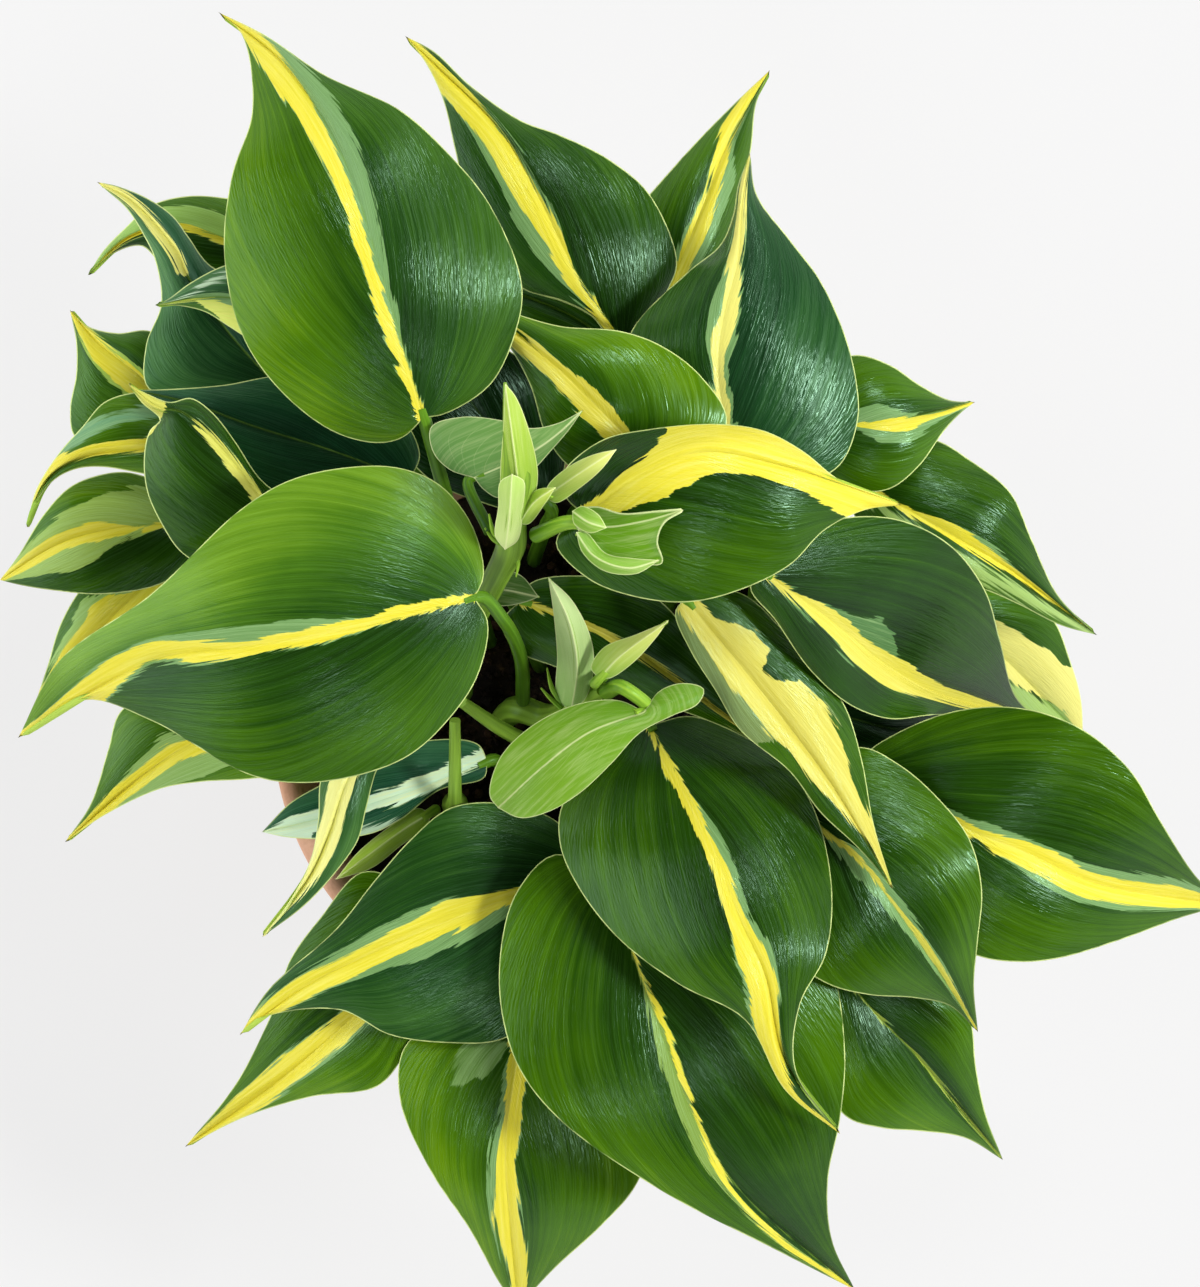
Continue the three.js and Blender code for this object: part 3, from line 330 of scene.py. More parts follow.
                 (0.7, -17, -13, 10, 16), (0.8, -14, -12, 11, 12), (0.9, -9, -8, 10, 12), (1, -2, 3)],
         bright=(0.35, 0.34), cool=(0.35, 0.3)),
    dict(name="leaf_lower_left_back", heights=(136, 124, 92), edges=(-4, -1), foot=(480, 900),
         rib=[(430, 950), (350, 1020), (280, 1080), (185, 1147)],
         left=[(445, 972), (425, 1012), (406, 1052), (378, 1086), (310, 1097), (245, 1117)],
         right=[(425, 915), (400, 882), (362, 872), (320, 918), (290, 960), (272, 1012), (235, 1085)],
         stripe=[(0, -12, 6), (0.3, -14, -13, 8, 8), (0.4, -16, -14, 10, 10), (0.5, -16, -12, 13, 14),
                 (0.6, -14, -12, 15, 16), (0.7, -15, -12, 13, 14), (0.8, -13, -11, 11, 11), (0.9, -8, 6),
                 (1, -2, 2)],
         bright=(0.6, 0.55)),
    dict(name="leaf_left_large", heights=(210, 212, 176), edges=(-8, -6), foot=(523, 700, 136), large=True,
         girth=0.92,
         via=[(520, 655, 176), (502, 618, 202)],
         rib=[(475, 598), (400, 618), (320, 635), (240, 648), (150, 662), (18, 738)],
         left=[(488, 622), (478, 675), (450, 718), (410, 755), (360, 775), (300, 783), (250, 775),
               (150, 720), (85, 700)],
         right=[(484, 575), (472, 525), (440, 485), (400, 468), (350, 467), (290, 480), (240, 510),
                (150, 595), (60, 660)],
         stripe=[(0, -3, 4), (0.1, -1, -1, 11, 12), (0.2, -1, 13), (0.3, -3, -2, 8, 9),
                 (0.4, -9, -8, 9, 16), (0.5, -10, -9, 7, 20), (0.6, -12, -11, 7, 21),
                 (0.7, -12, -10, 12, 20), (0.8, -3, 2, 19, 21), (0.88, -16, -14, 16, 18),
                 (0.94, -40, -40, 9, 10), (1, -40, 4)],
         # The upper, right half's higher bright is painted light: it stands in for the light and sheen that
         # half catches.
         bright=(0.4, 0.8), cool=(0.05, 0.1)),
    dict(name="leaf_left_under", heights=(146, 148, 128), edges=(-3, -4), foot=(360, 765),
         rib=[(300, 720), (200, 740), (150, 770), (65, 842)],
         left=[(312, 745), (290, 772), (250, 779), (200, 782), (160, 789), (105, 815)],
         right=[(285, 700), (230, 680), (160, 688), (120, 712), (108, 750), (90, 805)],
         stripe=[(0, -20, -12, 6, 8), (0.4, -38, -13, 5, 14), (0.5, -33, -9, 10, 21),
                 (0.6, -26, -9, 10, 19), (0.7, -19, -9, 9, 12), (0.8, -11, -8, 9, 9), (0.9, -8, 4),
                 (1, -2, 2)],
         silver=(140, 175, 95), bright=(0.65, 0.6)),
    dict(name="leaf_left_yellow", heights=(136, 136, 126), edges=(-3, -3), foot=(335, 735),
         via=[(288, 688, 134)],
         rib=[(175, 560), (130, 600), (85, 645), (38, 695)],
         left=[(190, 585), (170, 630), (120, 660), (72, 682)],
         right=[(150, 545), (110, 560), (80, 590), (60, 625), (48, 664)],
         stripe=[(0, -40, -40, 3, 10), (0.3, -40, -40, 4, 12), (0.4, -40, -40, 20, 22),
                 (0.5, -40, -40, 24, 30), (0.6, -40, -40, 16, 27), (0.7, -40, -40, 15, 21),
                 (0.8, -40, -40, 11, 14), (0.9, -40, -40, 5, 6), (1, -10, 2)],
         silver=(150, 185, 95), bright=(0.5, 0.5)),
    dict(name="leaf_left_upper", heights=(148, 150, 138), edges=(-3, -3), foot=(345, 700),
         via=[(293, 648, 140)],
         rib=[(190, 522), (147, 525), (111, 529), (59, 544), (0, 580)],
         left=[(202, 550), (165, 582), (105, 594), (50, 590), (20, 585)],
         right=[(185, 495), (144, 476), (117, 472), (73, 485), (44, 514), (18, 556)],
         stripe=[(0, -4, -3, 2, 30), (0.2, -4, -4, 0, 36), (0.3, -7, -5, -1, 38), (0.4, -12, -9, 2, 38),
                 (0.5, -17, -10, 6, 37), (0.6, -26, -10, 11, 30), (0.7, -32, -10, 10, 26),
                 (0.8, -26, -9, 9, 18), (0.9, -14, -7, 7, 9), (1, -2, 2)],
         silver=(156, 186, 88), bright=(0.35, 0.6)),
    dict(name="leaf_left_second", heights=(160, 162, 152), edges=(-2, -3), foot=(365, 665),
         rib=[(205, 442), (140, 450), (85, 457), (50, 477), (27, 527)],
         left=[(205, 465), (170, 478), (144, 474), (103, 467), (76, 469), (53, 481), (34, 507)],
         right=[(192, 415), (150, 393), (126, 394), (103, 403), (82, 427), (59, 453), (36, 490)],
         stripe=[(0, -1, 10), (0.4, -1.5, 11), (0.5, -0.5, 10.5), (0.6, 1, 10.5), (0.7, 1, 10),
                 (0.8, 1, 8), (0.9, 3, 8), (1, 0, 1)],
         patch=[(0.3, 30, 40), (0.4, 24, 36), (0.5, 13, 27), (0.6, 13, 20), (0.7, 13, 12), (1, 3, 2)],
         patch_tint=(110, 160, 120), bright=(0.6, 0.55)),
    dict(name="leaf_left_third", heights=(146, 147, 140), edges=(-2, -2), foot=(385, 620),
         via=[(330, 570, 136)],
         rib=[(170, 420), (144, 380), (126, 365), (97, 342), (70, 310)],
         left=[(160, 442), (110, 450), (75, 437), (70, 409), (76, 375), (76, 342)],
         right=[(190, 405), (190, 360), (150, 331), (117, 333), (88, 326)],
         stripe=[(0, -20, -18, 2, 6), (0.3, -24, -21, 2, 8), (0.4, -24, -20, 1, 7), (0.5, -24, -20, 2, 7),
                 (0.6, -22, -18, 3, 7), (0.7, -17, -15, 4, 6), (0.8, -12, -11, 4, 5), (0.9, -6, -6, 2, 3),
                 (1, -1, 1)],
         silver=(158, 190, 78), bright=(0.5, 0.5), cool=(0.1, 0.1)),
    dict(name="leaf_left_long", heights=(172, 172, 162), edges=(-2, -3), foot=(420, 600),
         rib=[(290, 400), (235, 340), (190, 280), (176, 251), (132, 201), (97, 182)],
         left=[(268, 412), (200, 398), (148, 388), (146, 345), (161, 304), (155, 260), (144, 236),
               (126, 208), (106, 190)],
         right=[(308, 380), (318, 335), (290, 300), (250, 280), (211, 266), (188, 236), (173, 216),
                (147, 198), (117, 186)],
         stripe=[(0, 7, -7), (0.41, 7, -7), (0.45, -8, 3), (0.6, -8, 3.5), (0.7, -8, 4), (0.8, -6, 4),
                 (0.9, -3, 4), (1, -1, 1)],
         gold=(240, 236, 130), bright=(0.6, 0.5), cool=(0.6, 0.85)),
    dict(name="leaf_left_fold", heights=(190, 188, 182), edges=(-2, -3), foot=(455, 590),
         rib=[(330, 325), (270, 305), (220, 297), (155, 305)],
         left=[(325, 352), (290, 360), (250, 340), (228, 326), (205, 312), (180, 306)],
         right=[(328, 300), (300, 270), (260, 258), (223, 266), (190, 283), (168, 299)],
         stripe=[(0.5, -40, -40, -12, 4), (0.6, -31, -31, -8, 5), (0.7, -17, -17, -1, 5),
                 (0.8, -2, -2, 0, 3), (1, 0, 0)],
         patch=[(0.5, 24, 34), (0.6, 20, 27), (0.7, 15, 21), (0.8, 4, 9), (0.9, 1, 2), (1, 1, 0)],
         gold=(224, 236, 110), silver=(136, 176, 116), patch_tint=(214, 238, 208), bright=(0.6, 0.6),
         cool=(0.2, 0.6)),
    dict(name="leaf_left_dark", heights=(186, 186, 180), edges=(-3, -3), foot=(455, 640),
         rib=[(410, 480), (330, 450), (250, 425), (190, 403), (133, 390)],
         left=[(405, 500), (350, 520), (290, 505), (230, 460), (175, 412)],
         right=[(420, 455), (400, 415), (345, 382), (285, 375), (223, 385), (170, 389)],
         bright=(0.25, 0.4), cool=(0.7, 0.8)),
    dict(name="leaf_left_curled", heights=(190, 196, 198), edges=(-8, -2), foot=(425, 660),
         rib=[(300, 560), (258, 494), (212, 438), (182, 412), (158, 407), (128, 384)],
         left=[(275, 575), (220, 572), (182, 553), (161, 523), (147, 491), (144, 456), (150, 430),
               (160, 420), (142, 403)],
         right=[(310, 535), (295, 505), (267, 485), (255, 472), (235, 441), (212, 412), (191, 398),
                (170, 402), (150, 395)],
         stripe=[(0, -10, 4), (0.3, -8, 3), (0.4, -6.5, 2.5), (0.5, -5, 1), (0.56, 4, -4), (0.74, 4, -4),
                 (0.8, -40, 40), (1, -40, 40)],
         gold=(206, 206, 90), bright=(0.35, 0.3)),
    dict(name="leaf_far_left", heights=(152, 152, 144), edges=(-2, -3), foot=(470, 560),
         rib=[(300, 260), (240, 243), (182, 226), (130, 237), (88, 275)],
         left=[(305, 285), (270, 300), (215, 290), (160, 262), (141, 246), (111, 255)],
         right=[(300, 232), (270, 207), (226, 198), (188, 196), (152, 205), (123, 230), (103, 251)],
         stripe=[(0, -10, -8, 0, 22), (0.3, -7, -7, 0, 22), (0.4, -6, -6, 0, 22), (0.5, -4, -4, 3, 22),
                 (0.6, -3, -3, 4, 22), (0.7, -2, -2, 2, 16), (0.8, -1, -1, 1, 10), (0.9, -1, -1, 1, 5),
                 (1, 0, 0)],
         silver=(150, 190, 90), bright=(0.3, 0.5)),
    dict(name="leaf_low_narrow", heights=(158, 160, 146), edges=(-2, -2), foot=(400, 735),
         rib=[(370, 740), (345, 785), (330, 830), (310, 875), (262, 937)],
         left=[(385, 750), (375, 775), (366, 810), (358, 840), (336, 872), (304, 906)],
         right=[(345, 748), (322, 775), (318, 820), (311, 858), (290, 900)],
         stripe=[(0, -9, 14), (0.3, -9, 13), (0.4, -9, 12), (0.5, -10, 10), (0.6, -11, 9), (0.7, -8, 8),
                 (0.8, -6, 5), (0.9, -3, 3), (1, -1, 1)],
         gold=(246, 244, 150), bright=(0.5, 0.4), cool=(0.45, 0.3)),
    dict(name="leaf_low_mint", heights=(129, 135, 132), edges=(-2, -2), foot=(520, 775),
         rib=[(488, 762), (410, 790), (350, 810), (300, 823), (262, 832)],
         left=[(484, 778), (440, 790), (400, 820), (370, 834), (320, 839), (285, 837)],
         right=[(478, 744), (430, 740), (360, 762), (320, 785), (290, 803)],
         stripe=[(0, 2, 14), (0.1, -2, 13), (0.2, -7, 10), (0.3, -9, 8), (0.4, -6, 9), (0.5, -9, 9),
                 (0.6, -11, 9), (0.7, -14, 9), (0.8, -40, 9), (0.9, -40, 4), (1, -40, 0)],
         patch=[(0.3, -60, -24), (0.5, -60, -22), (0.6, -60, -21), (0.7, -60, -18), (1, -60, -18)],
         gold=(206, 234, 204), patch_tint=(206, 234, 204), bright=(0.5, 0.55), cool=(0.95, 0.95)),
    dict(name="leaf_low_sheath", heights=(124, 130, 130), edges=(-1, -1), foot=(435, 810, 121), small=True,
         rib=[(430, 813), (400, 832), (335, 880)],
         left=[(428, 826), (402, 845), (372, 868)],
         right=[(418, 808), (390, 826), (358, 852)],
         tint=((130, 174, 40), (168, 200, 66))),
    dict(name="leaf_young_lime", heights=(188, 192, 178), edges=(-3, -3), foot=(606.5, 692, 176.6),
         small=True, girth=1.3,
         via=[(624, 688, 189)],
         rib=[(645, 712), (590, 732), (545, 765), (498, 808)],
         left=[(658, 692), (682, 683), (704, 689), (698, 704), (672, 716), (640, 733), (612, 763),
               (580, 793), (548, 812), (520, 818)],
         right=[(622, 701), (598, 700), (565, 708), (530, 727), (503, 753), (491, 780), (490, 797)],
         tint=((94, 140, 26), (118, 162, 42))),
    dict(name="leaf_young_pale", heights=(168, 192, 202), edges=(-2, -2), foot=(570, 735), small=True,
         rib=[(571, 712), (577, 670), (570, 625), (548, 577)],
         left=[(557, 698), (557, 655), (553, 610)],
         right=[(586, 698), (594, 665), (590, 635), (572, 600)],
         tint=((134, 182, 84), (208, 230, 160))),
    dict(name="leaf_young_small", heights=(187, 193, 198), edges=(-1, -1), foot=(604, 675, 176), small=True,
         rib=[(599, 679), (618, 658), (668, 621)],
         left=[(591, 668), (603, 648), (637, 634)],
         right=[(611, 678), (634, 662), (656, 638)],
         tint=((118, 170, 40), (228, 234, 124))),
    dict(name="leaf_young_gold", heights=(216, 226, 228), edges=(-1, -1), foot=(532, 510, 216), small=True,
         rib=[(545, 497), (572, 478), (617, 449)],
         left=[(548, 485), (568, 467), (592, 455)],
         right=[(556, 503), (580, 488), (602, 469)],
         tint=((134, 180, 48), (228, 232, 124))),
    dict(name="leaf_young_curled", heights=(224, 226, 227), edges=(2, 2), foot=(536, 535, 210), small=True,
         girth=1.3,
         rib=[(578, 523), (605, 527), (645, 521), (683, 510)],
         left=[(577, 511), (596, 507), (622, 514), (655, 512)],
         right=[(584, 540), (603, 558), (616, 570), (640, 565), (662, 563), (657, 542), (664, 522)],
         tint=((86, 134, 22), (104, 152, 32))),
    dict(name="leaf_young_grey", heights=(206, 210, 211), edges=(-2, -2), foot=(490, 532, 209), small=True,
         rib=[(474, 478), (505, 465), (532, 452), (560, 432), (583, 410)],
         left=[(450, 470), (433, 452), (431, 427), (460, 417), (500, 420), (530, 428), (558, 423)],
         right=[(484, 490), (500, 498), (528, 476), (550, 452), (569, 430)],
         tint=((80, 122, 62), (110, 152, 76))),
    dict(name="leaf_young_dark", heights=(172, 178, 182), edges=(-1, -1), foot=(480, 650, 152), small=True,
         rib=[(480, 588), (505, 590), (539, 597)],
         left=[(484, 573), (503, 569), (522, 576)],
         right=[(484, 603), (505, 606), (526, 602)],
         tint=((40, 76, 16), (66, 106, 26))),
    # A blade put in low to fill a gap that shows only deep shade; its darkest tone, bright 0.1, is painted
    # shade.
    dict(name="leaf_deep_middle", heights=(146, 150, 140), edges=(-2, -2), foot=(535, 560),
         rib=[(548, 505), (510, 455), (470, 400), (425, 330)],
         left=[(522, 512), (480, 502), (430, 480), (398, 440), (396, 380)],
         right=[(562, 480), (566, 430), (545, 380), (500, 345), (458, 325)],
         bright=(0.1, 0.1), cool=(0.3, 0.3)),
    # A blade put in low beyond the rim to fill a gap that shows only deep shade; its darkest tone, bright
    # 0.1, is painted shade.
    dict(name="leaf_deep_right", heights=(134, 134, 112), edges=(-2, -2), foot=(735, 715),
         via=[(785, 716, 133)],
         rib=[(812, 715), (850, 718), (890, 728), (965, 730)],
         left=[(818, 700), (850, 687), (892, 686), (934, 702)],
         right=[(815, 735), (845, 752), (890, 760), (935, 750)],
         bright=(0.1, 0.1), cool=(0.3, 0.3)),
    dict(name="leaf_bottom_right", heights=(132, 126, 100), edges=(-3, -4), foot=(735, 845),
         via=[(768, 882, 132)],
         rib=[(830, 960), (882, 1021), (913, 1052), (956, 1104), (1003, 1160)],
         left=[(860, 945), (915, 955), (955, 985), (971, 1021), (976, 1067), (986, 1115)],
         right=[(815, 985), (815, 1050), (844, 1115), (882, 1128), (919, 1131), (965, 1138)],
         stripe=[(0, -1, 1), (1, -1, 1)],
         gold=(150, 170, 60), bright=(0.5, 0.5)),
]

# The vines: thick stems. path is in plan pixels with a height, radii run from foot to tip.
VINES = [
    dict(name="vine_middle_with_bud",
         path=[(462, 690, 102), (462, 688, 130), (470, 630, 170), (495, 580, 195), (511, 545, 206),
               (513, 512, 216), (517, 475, 226), (511, 430, 234), (505, 383, 240)],
         radii=[2.8, 2.8, 2.8, 2.9, 3.4, 3, 3.1, 1.9, 0.4]),
    dict(name="vine_swollen",
         path=[(504, 720, 102), (504, 718, 119), (520, 709, 131), (546, 717, 135), (570, 710, 146),
               (590, 698, 163), (603, 690, 176)],
         radii=[2.6, 3, 3.4, 3.2, 2.6, 2, 1.6]),
    dict(name="stalk_slanting",
         path=[(533, 746, 102), (532, 745, 118), (497, 726, 139), (462, 702, 150)],
         radii=[2.2, 2.1, 1.8, 1.4]),
    dict(name="stalk_upright",
         path=[(455, 804, 102), (455, 804, 122), (455, 798, 138), (455, 765, 145), (455, 720, 151)],
         radii=[3.4, 3.2, 1.7, 1.5, 1.3]),
]

# Small blades that belong to a node beside its own: the bud's sheaths and rolled young lobes.
FOLDS = [
    dict(on="vine_middle_with_bud", name="bud_back", heights=(214, 235, 242), edges=(-2, -2), small=True,
         rib=[(515, 540), (518, 490), (512, 435), (505, 383)],
         left=[(503, 520), (500, 478), (503, 430)],
         right=[(530, 512), (538, 476), (529, 430), (516, 397)],
         tint=((120, 164, 44), (172, 200, 76))),
    dict(on="vine_middle_with_bud", name="bud_front", heights=(213, 228, 235), edges=(-3, -3), small=True,
         rib=[(505, 550), (509, 520), (512, 474)],
         left=[(495, 536), (498, 508), (500, 482)],
         right=[(518, 540), (523, 508), (524, 481)],
         tint=((216, 232, 156), (170, 204, 96))),
    dict(on="vine_middle_with_bud", name="bud_side", heights=(216, 223, 224), edges=(-2, -2), small=True,
         rib=[(519, 524), (534, 502), (556, 487)],
         left=[(519, 507), (536, 490)],
         right=[(529, 524), (545, 504)],
         tint=((128, 176, 46), (200, 218, 96))),
    dict(on="leaf_young_curled", name="lobe_upper", heights=(227, 231, 229), edges=(-2, -2), small=True,
         rib=[(572, 511), (588, 522), (607, 528)],
         left=[(582, 506), (598, 514)],
         right=[(574, 524), (590, 533)],
         tint=((104, 152, 36), (140, 180, 62))),
    dict(on="leaf_young_curled", name="lobe_lower", heights=(228, 230, 229), edges=(-2, -2), small=True,
         rib=[(576, 532), (594, 556), (628, 568), (660, 560)],
         left=[(586, 532), (606, 553), (632, 558)],
         right=[(582, 552), (604, 571), (636, 574)],
         tint=((112, 160, 44), (140, 182, 70))),
]

# Short root tips and bracts that stand off the nodes.
TWIGS = [
    dict(on="vine_middle_with_bud",
         path=[(506, 541, 209), (494, 533, 212), (489, 514, 214)],
         radii=[0.7, 0.6, 0.2]),
    dict(on="vine_middle_with_bud",
         path=[(506, 546, 208), (493, 539, 209), (485, 528, 210)],
         radii=[0.7, 0.5, 0.2]),
    dict(on="vine_middle_with_bud",
         path=[(514, 550, 206), (518, 563, 205), (516, 577, 204)],
         radii=[0.7, 0.5, 0.15]),
    dict(on="leaf_young_pale",
         path=[(562, 703, 168), (552, 688, 171), (547, 668, 173)],
         radii=[0.7, 0.6, 0.2]),
    dict(on="leaf_young_pale",
         path=[(562, 708, 168), (550, 698, 169), (541, 688, 170)],
         radii=[0.7, 0.5, 0.2]),
]

# Young blades on a dark petiole.
DARK_STALKS = ["leaf_young_grey", "leaf_young_dark"]

# Colours, as red, green and blue from 0 to 255 on a screen.
GREEN_STEPS = [(0.0, (9, 28, 2)), (0.3, (33, 68, 2)), (0.6, (66, 107, 2)), (1.0, (116, 156, 6))]
TEAL_STEPS = [(0.0, (6, 30, 18)), (0.35, (22, 66, 44)), (0.7, (56, 108, 74)), (1.0, (116, 160, 120))]
LEAF_GREEN = (44, 92, 20)
SILVER_GREEN = (116, 156, 94)
SILVER_PALE = (166, 198, 134)
SPARE_GREEN = (165, 195, 100)
GOLD = (224, 212, 56)
PALE_GOLD = (240, 234, 128)
DEEP_GOLD = (196, 184, 44)
CREAM = (240, 244, 186)
RIB_GREEN = (120, 156, 50)
# The pale edge line: partly the blade's own pale margin, partly a painted highlight along the edge.
EDGE_CREAM_AND_HIGHLIGHT = (220, 236, 150)
UNDERSIDE = (98, 134, 70)
LIME = (160, 200, 66)
YOUNG_SHADE = (84, 132, 24)
PETIOLE_DARK = (36, 70, 8)
PETIOLE_LIGHT = (98, 144, 32)
LIME_DARK = (84, 134, 24)
VINE_DARK = (70, 104, 22)
VINE_LIGHT = (140, 178, 62)
CLAY_LIGHT = (226, 184, 158)
CLAY = (206, 156, 128)
CLAY_DARK = (178, 128, 102)
# Potting mix is dark, and these soil colours are darkened further as painted shade from the leaves above.
SOIL_DARK = (18, 13, 10)
SOIL_BROWN = (48, 33, 23)
SOIL_PALE = (104, 78, 54)
BARK = (70, 47, 32)
BACKDROP = (241, 241, 241)


def linear(colour, strength=1.0):
    """A screen colour as the renderer's own linear colour, with its alpha."""
    parts = np.asarray(colour, float) / 255
    parts = np.where(parts <= 0.04045, parts / 12.92, ((parts + 0.055) / 1.055) ** 2.4)
    return (*(parts * strength).tolist(), 1.0)


class Tree:
    """Short calls that add a node each and return the socket that carries its result."""

    def __init__(self, tree):
        self.nodes = tree.nodes
        self.links = tree.links

    def put(self, socket, value):
        if isinstance(value, bpy.types.NodeSocket):
            self.links.new(value, socket)
        else:
            socket.default_value = value

    def node(self, kind, inputs, output=0, **settings):
        """A new node; each of its inputs gets a plain value or another node's result."""
        made = self.nodes.new(kind)
        for name, value in settings.items():
            setattr(made, name, value)
        for name, value in inputs.items():
            self.put(made.inputs[name], value)
        return made.outputs[output]

    def number(self, name):
        return self.node("ShaderNodeAttribute", {}, "Fac", attribute_name=name)

    def colour(self, name):
        return self.node("ShaderNodeAttribute", {}, "Color", attribute_name=name)

    def place(self):
        """The piece's own coordinates, in metres."""
        return self.node("ShaderNodeTexCoord", {}, "Object")

    def math(self, operation, first, second=0.0):
        return self.node("ShaderNodeMath", {0: first, 1: second}, operation=operation)

    def add(self, first, second):
        return self.math("ADD", first, second)

    def times(self, first, second):
        return self.math("MULTIPLY", first, second)

    def sway(self, number, noise, by):
        """A number swayed up and down by a noise, which lies about a half."""
        return self.add(number, self.times(self.add(noise, -0.5), by))

    def rest(self, share):
        """What a share leaves of one."""
        return self.add(self.times(share, -1.0), 1.0)

    def step(self, value, low, high, first=0.0, last=1.0):
        """Goes smoothly from first to last while the value goes from low to high."""
        limits = {"From Min": low, "From Max": high, "To Min": first, "To Max": last}
        return self.node("ShaderNodeMapRange", {"Value": value, **limits}, "Result",
                         interpolation_type="SMOOTHSTEP")

    def mix(self, share, first, second):
        colours = {"Factor": share, 6: first, 7: second}
        return self.node("ShaderNodeMix", colours, 2, data_type="RGBA")

    def coat(self, colour, over, value, *limits):
        """A colour laid over another by as much as the value has stepped."""
        return self.mix(self.step(value, *limits), colour, over)

    def vector(self, x, y, z):
        return self.node("ShaderNodeCombineXYZ", {0: x, 1: y, 2: z})

    def noise(self, vector, scale, detail, roughness=0.5):
        given = {"Vector": vector, "Scale": scale, "Detail": detail, "Roughness": roughness}
        return self.node("ShaderNodeTexNoise", given, "Fac")

    def ramp(self, value, stops):
        node = self.nodes.new("ShaderNodeValToRGB")
        elements = node.color_ramp.elements
        while len(elements) < len(stops):
            elements.new(0.5)
        for element, (position, colour) in zip(elements, stops):
            element.position = position
            element.color = linear(colour)
        self.put(node.inputs["Fac"], value)
        return node.outputs["Color"]


def new_material(name):
    """A material and the tree that its skin is built in."""
    material = bpy.data.materials.new(name)
    material.use_nodes = True
    return material, Tree(material.node_tree)


def finished(material, tree, colour, roughness, specular, height, strength, depth, wax=False):
    """The material with its colour, gloss and relief; depth is in metres, and wax tints its glints."""
    shader = material.node_tree.nodes["Principled BSDF"]
    relief = {"Height": height, "Strength": strength, "Distance": depth}
    tree.put(shader.inputs["Base Color"], colour)
    tree.put(shader.inputs["Roughness"], roughness)
    tree.put(shader.inputs["Normal"], tree.node("ShaderNodeBump", relief))
    shader.inputs["Specular IOR Level"].default_value = specular
    if wax:
        shader.inputs["Specular Tint"].default_value = (*WAX_TINT, 1)
    return material


def vein_strokes(tree, across, along, detail=4.0, roughness=0.6):
    """Noise drawn out along a blade's veins; across and along are how fine it is, per millimetre."""
    vein = tree.times(tree.number("vein"), across)
    reach = tree.times(tree.number("reach"), along)
    return tree.noise(tree.vector(vein, reach, tree.number("seed")), 1.0, detail, roughness)


def rib_lines(tree, across, along):
    """Noise drawn out along a blade's rib, for the fine lines inside its stripe."""
    offset = tree.times(tree.number("offset"), across)
    reach = tree.times(tree.number("reach"), along)
    return tree.noise(tree.vector(offset, reach, tree.number("seed")), 1.0, 3.0, 0.6)


def main_veins(tree):
    """How near each place is to one of the blade's few arching veins, from 0 to 1."""
    turn = tree.math("FRACT", tree.number("veins"))
    away = tree.math("ABSOLUTE", tree.add(turn, -0.5))
    inside = tree.step(tree.number("out"), 0.6, 0.95, 1.0, 0.0)
    return tree.times(tree.step(away, 0.0, VEIN_WIDTH, 1.0, 0.0), inside)


def leaf_ground(tree, strokes):
    """The blade's greens: deep and bluish beside the rib, brighter and yellower outwards."""
    out = tree.step(tree.number("out"), 0.0, 0.9)
    # bright: the half's own tone, and on some blades painted light or painted shade.
    light = tree.times(tree.number("bright"), tree.add(tree.times(out, 0.6), 0.5))
    light = tree.sway(light, tree.noise(tree.place(), 34.0, 3.0), 0.5)
    light = tree.sway(light, vein_strokes(tree, 0.22, 0.02, 2.0), 0.42)
    light = tree.sway(light, strokes, 0.2)
    light = tree.add(light, tree.times(main_veins(tree), 0.08))
    cool = tree.add(tree.number("cool"), tree.times(tree.rest(out), 0.05))
    share = tree.math("MINIMUM", cool, 1.0)
    return tree.mix(share, tree.ramp(light, GREEN_STEPS), tree.ramp(light, TEAL_STEPS))


def striped_leaf_material():
    """A grown blade's upper face: green, with the silver band and the gold stripe over it."""
    material, tree = new_material("striped_leaf_upper")
    strokes = vein_strokes(tree, 0.9, 0.05)
    fringe = tree.add(vein_strokes(tree, 0.13, 0.03, 5.0, 0.66), -0.5)
    fringe = tree.times(fringe, tree.number("ragged"))
    lines = rib_lines(tree, 1.7, 0.05)
    colour = leaf_ground(tree, strokes)

    def share(field, reach, low, high, most=1.0):
        """How much of a marking shows: its ragged edge is its field, pushed about by the fringe."""
        edge = tree.add(tree.number(field), tree.times(fringe, reach))
        return tree.times(tree.step(edge, low, high), most)

    silver = tree.coat(tree.colour("silver_tint"), linear(SILVER_PALE), strokes, 0.45, 0.75, 0.0, 0.4)
    silver = tree.coat(silver, colour, strokes, 0.25, 0.5, 0.25, 0.0)
    colour = tree.mix(share("silver", 6.0, -0.1, 0.12, 0.92), colour, silver)
    patch = tree.coat(tree.colour("patch_tint"), linear(SILVER_PALE), strokes, 0.3, 0.7, 0.0, 0.45)
    colour = tree.mix(share("patch", 9.0, -0.3, 0.6, 0.85), colour, patch)
    gold = tree.coat(tree.colour("gold_tint"), linear(PALE_GOLD), lines, 0.4, 0.75, 0.0, 0.4)
    gold = tree.coat(gold, linear(DEEP_GOLD), lines, 0.25, 0.45, 0.4, 0.0)
    gold_share = share("gold", 4.5, -0.1, 0.1)
    colour = tree.mix(gold_share, colour, gold)
    rib_share = tree.times(tree.step(tree.number("rib"), 0.12, 0.42, 0.9, 0.0), tree.number("bright"))
    colour = tree.mix(tree.times(rib_share, tree.rest(gold_share)), colour, linear(RIB_GREEN))
    # The margin and the blade's cut edge take the pale edge colour, which is partly its own pale margin and
    # partly a painted highlight.
    margin_share = tree.step(tree.number("margin"), 0.1, 0.36, 0.9, 0.0)
    colour = tree.mix(tree.times(margin_share, tree.number("ragged")), colour, linear(EDGE_CREAM_AND_HIGHLIGHT))
    gloss = tree.step(strokes, 0.35, 0.65, 0.16, 0.36)
    height = tree.add(vein_strokes(tree, 0.8, 0.3, 1.0), tree.times(main_veins(tree), -0.25))
    return finished(material, tree, colour, gloss, 0.28, height, 0.3, 0.0005, wax=True)


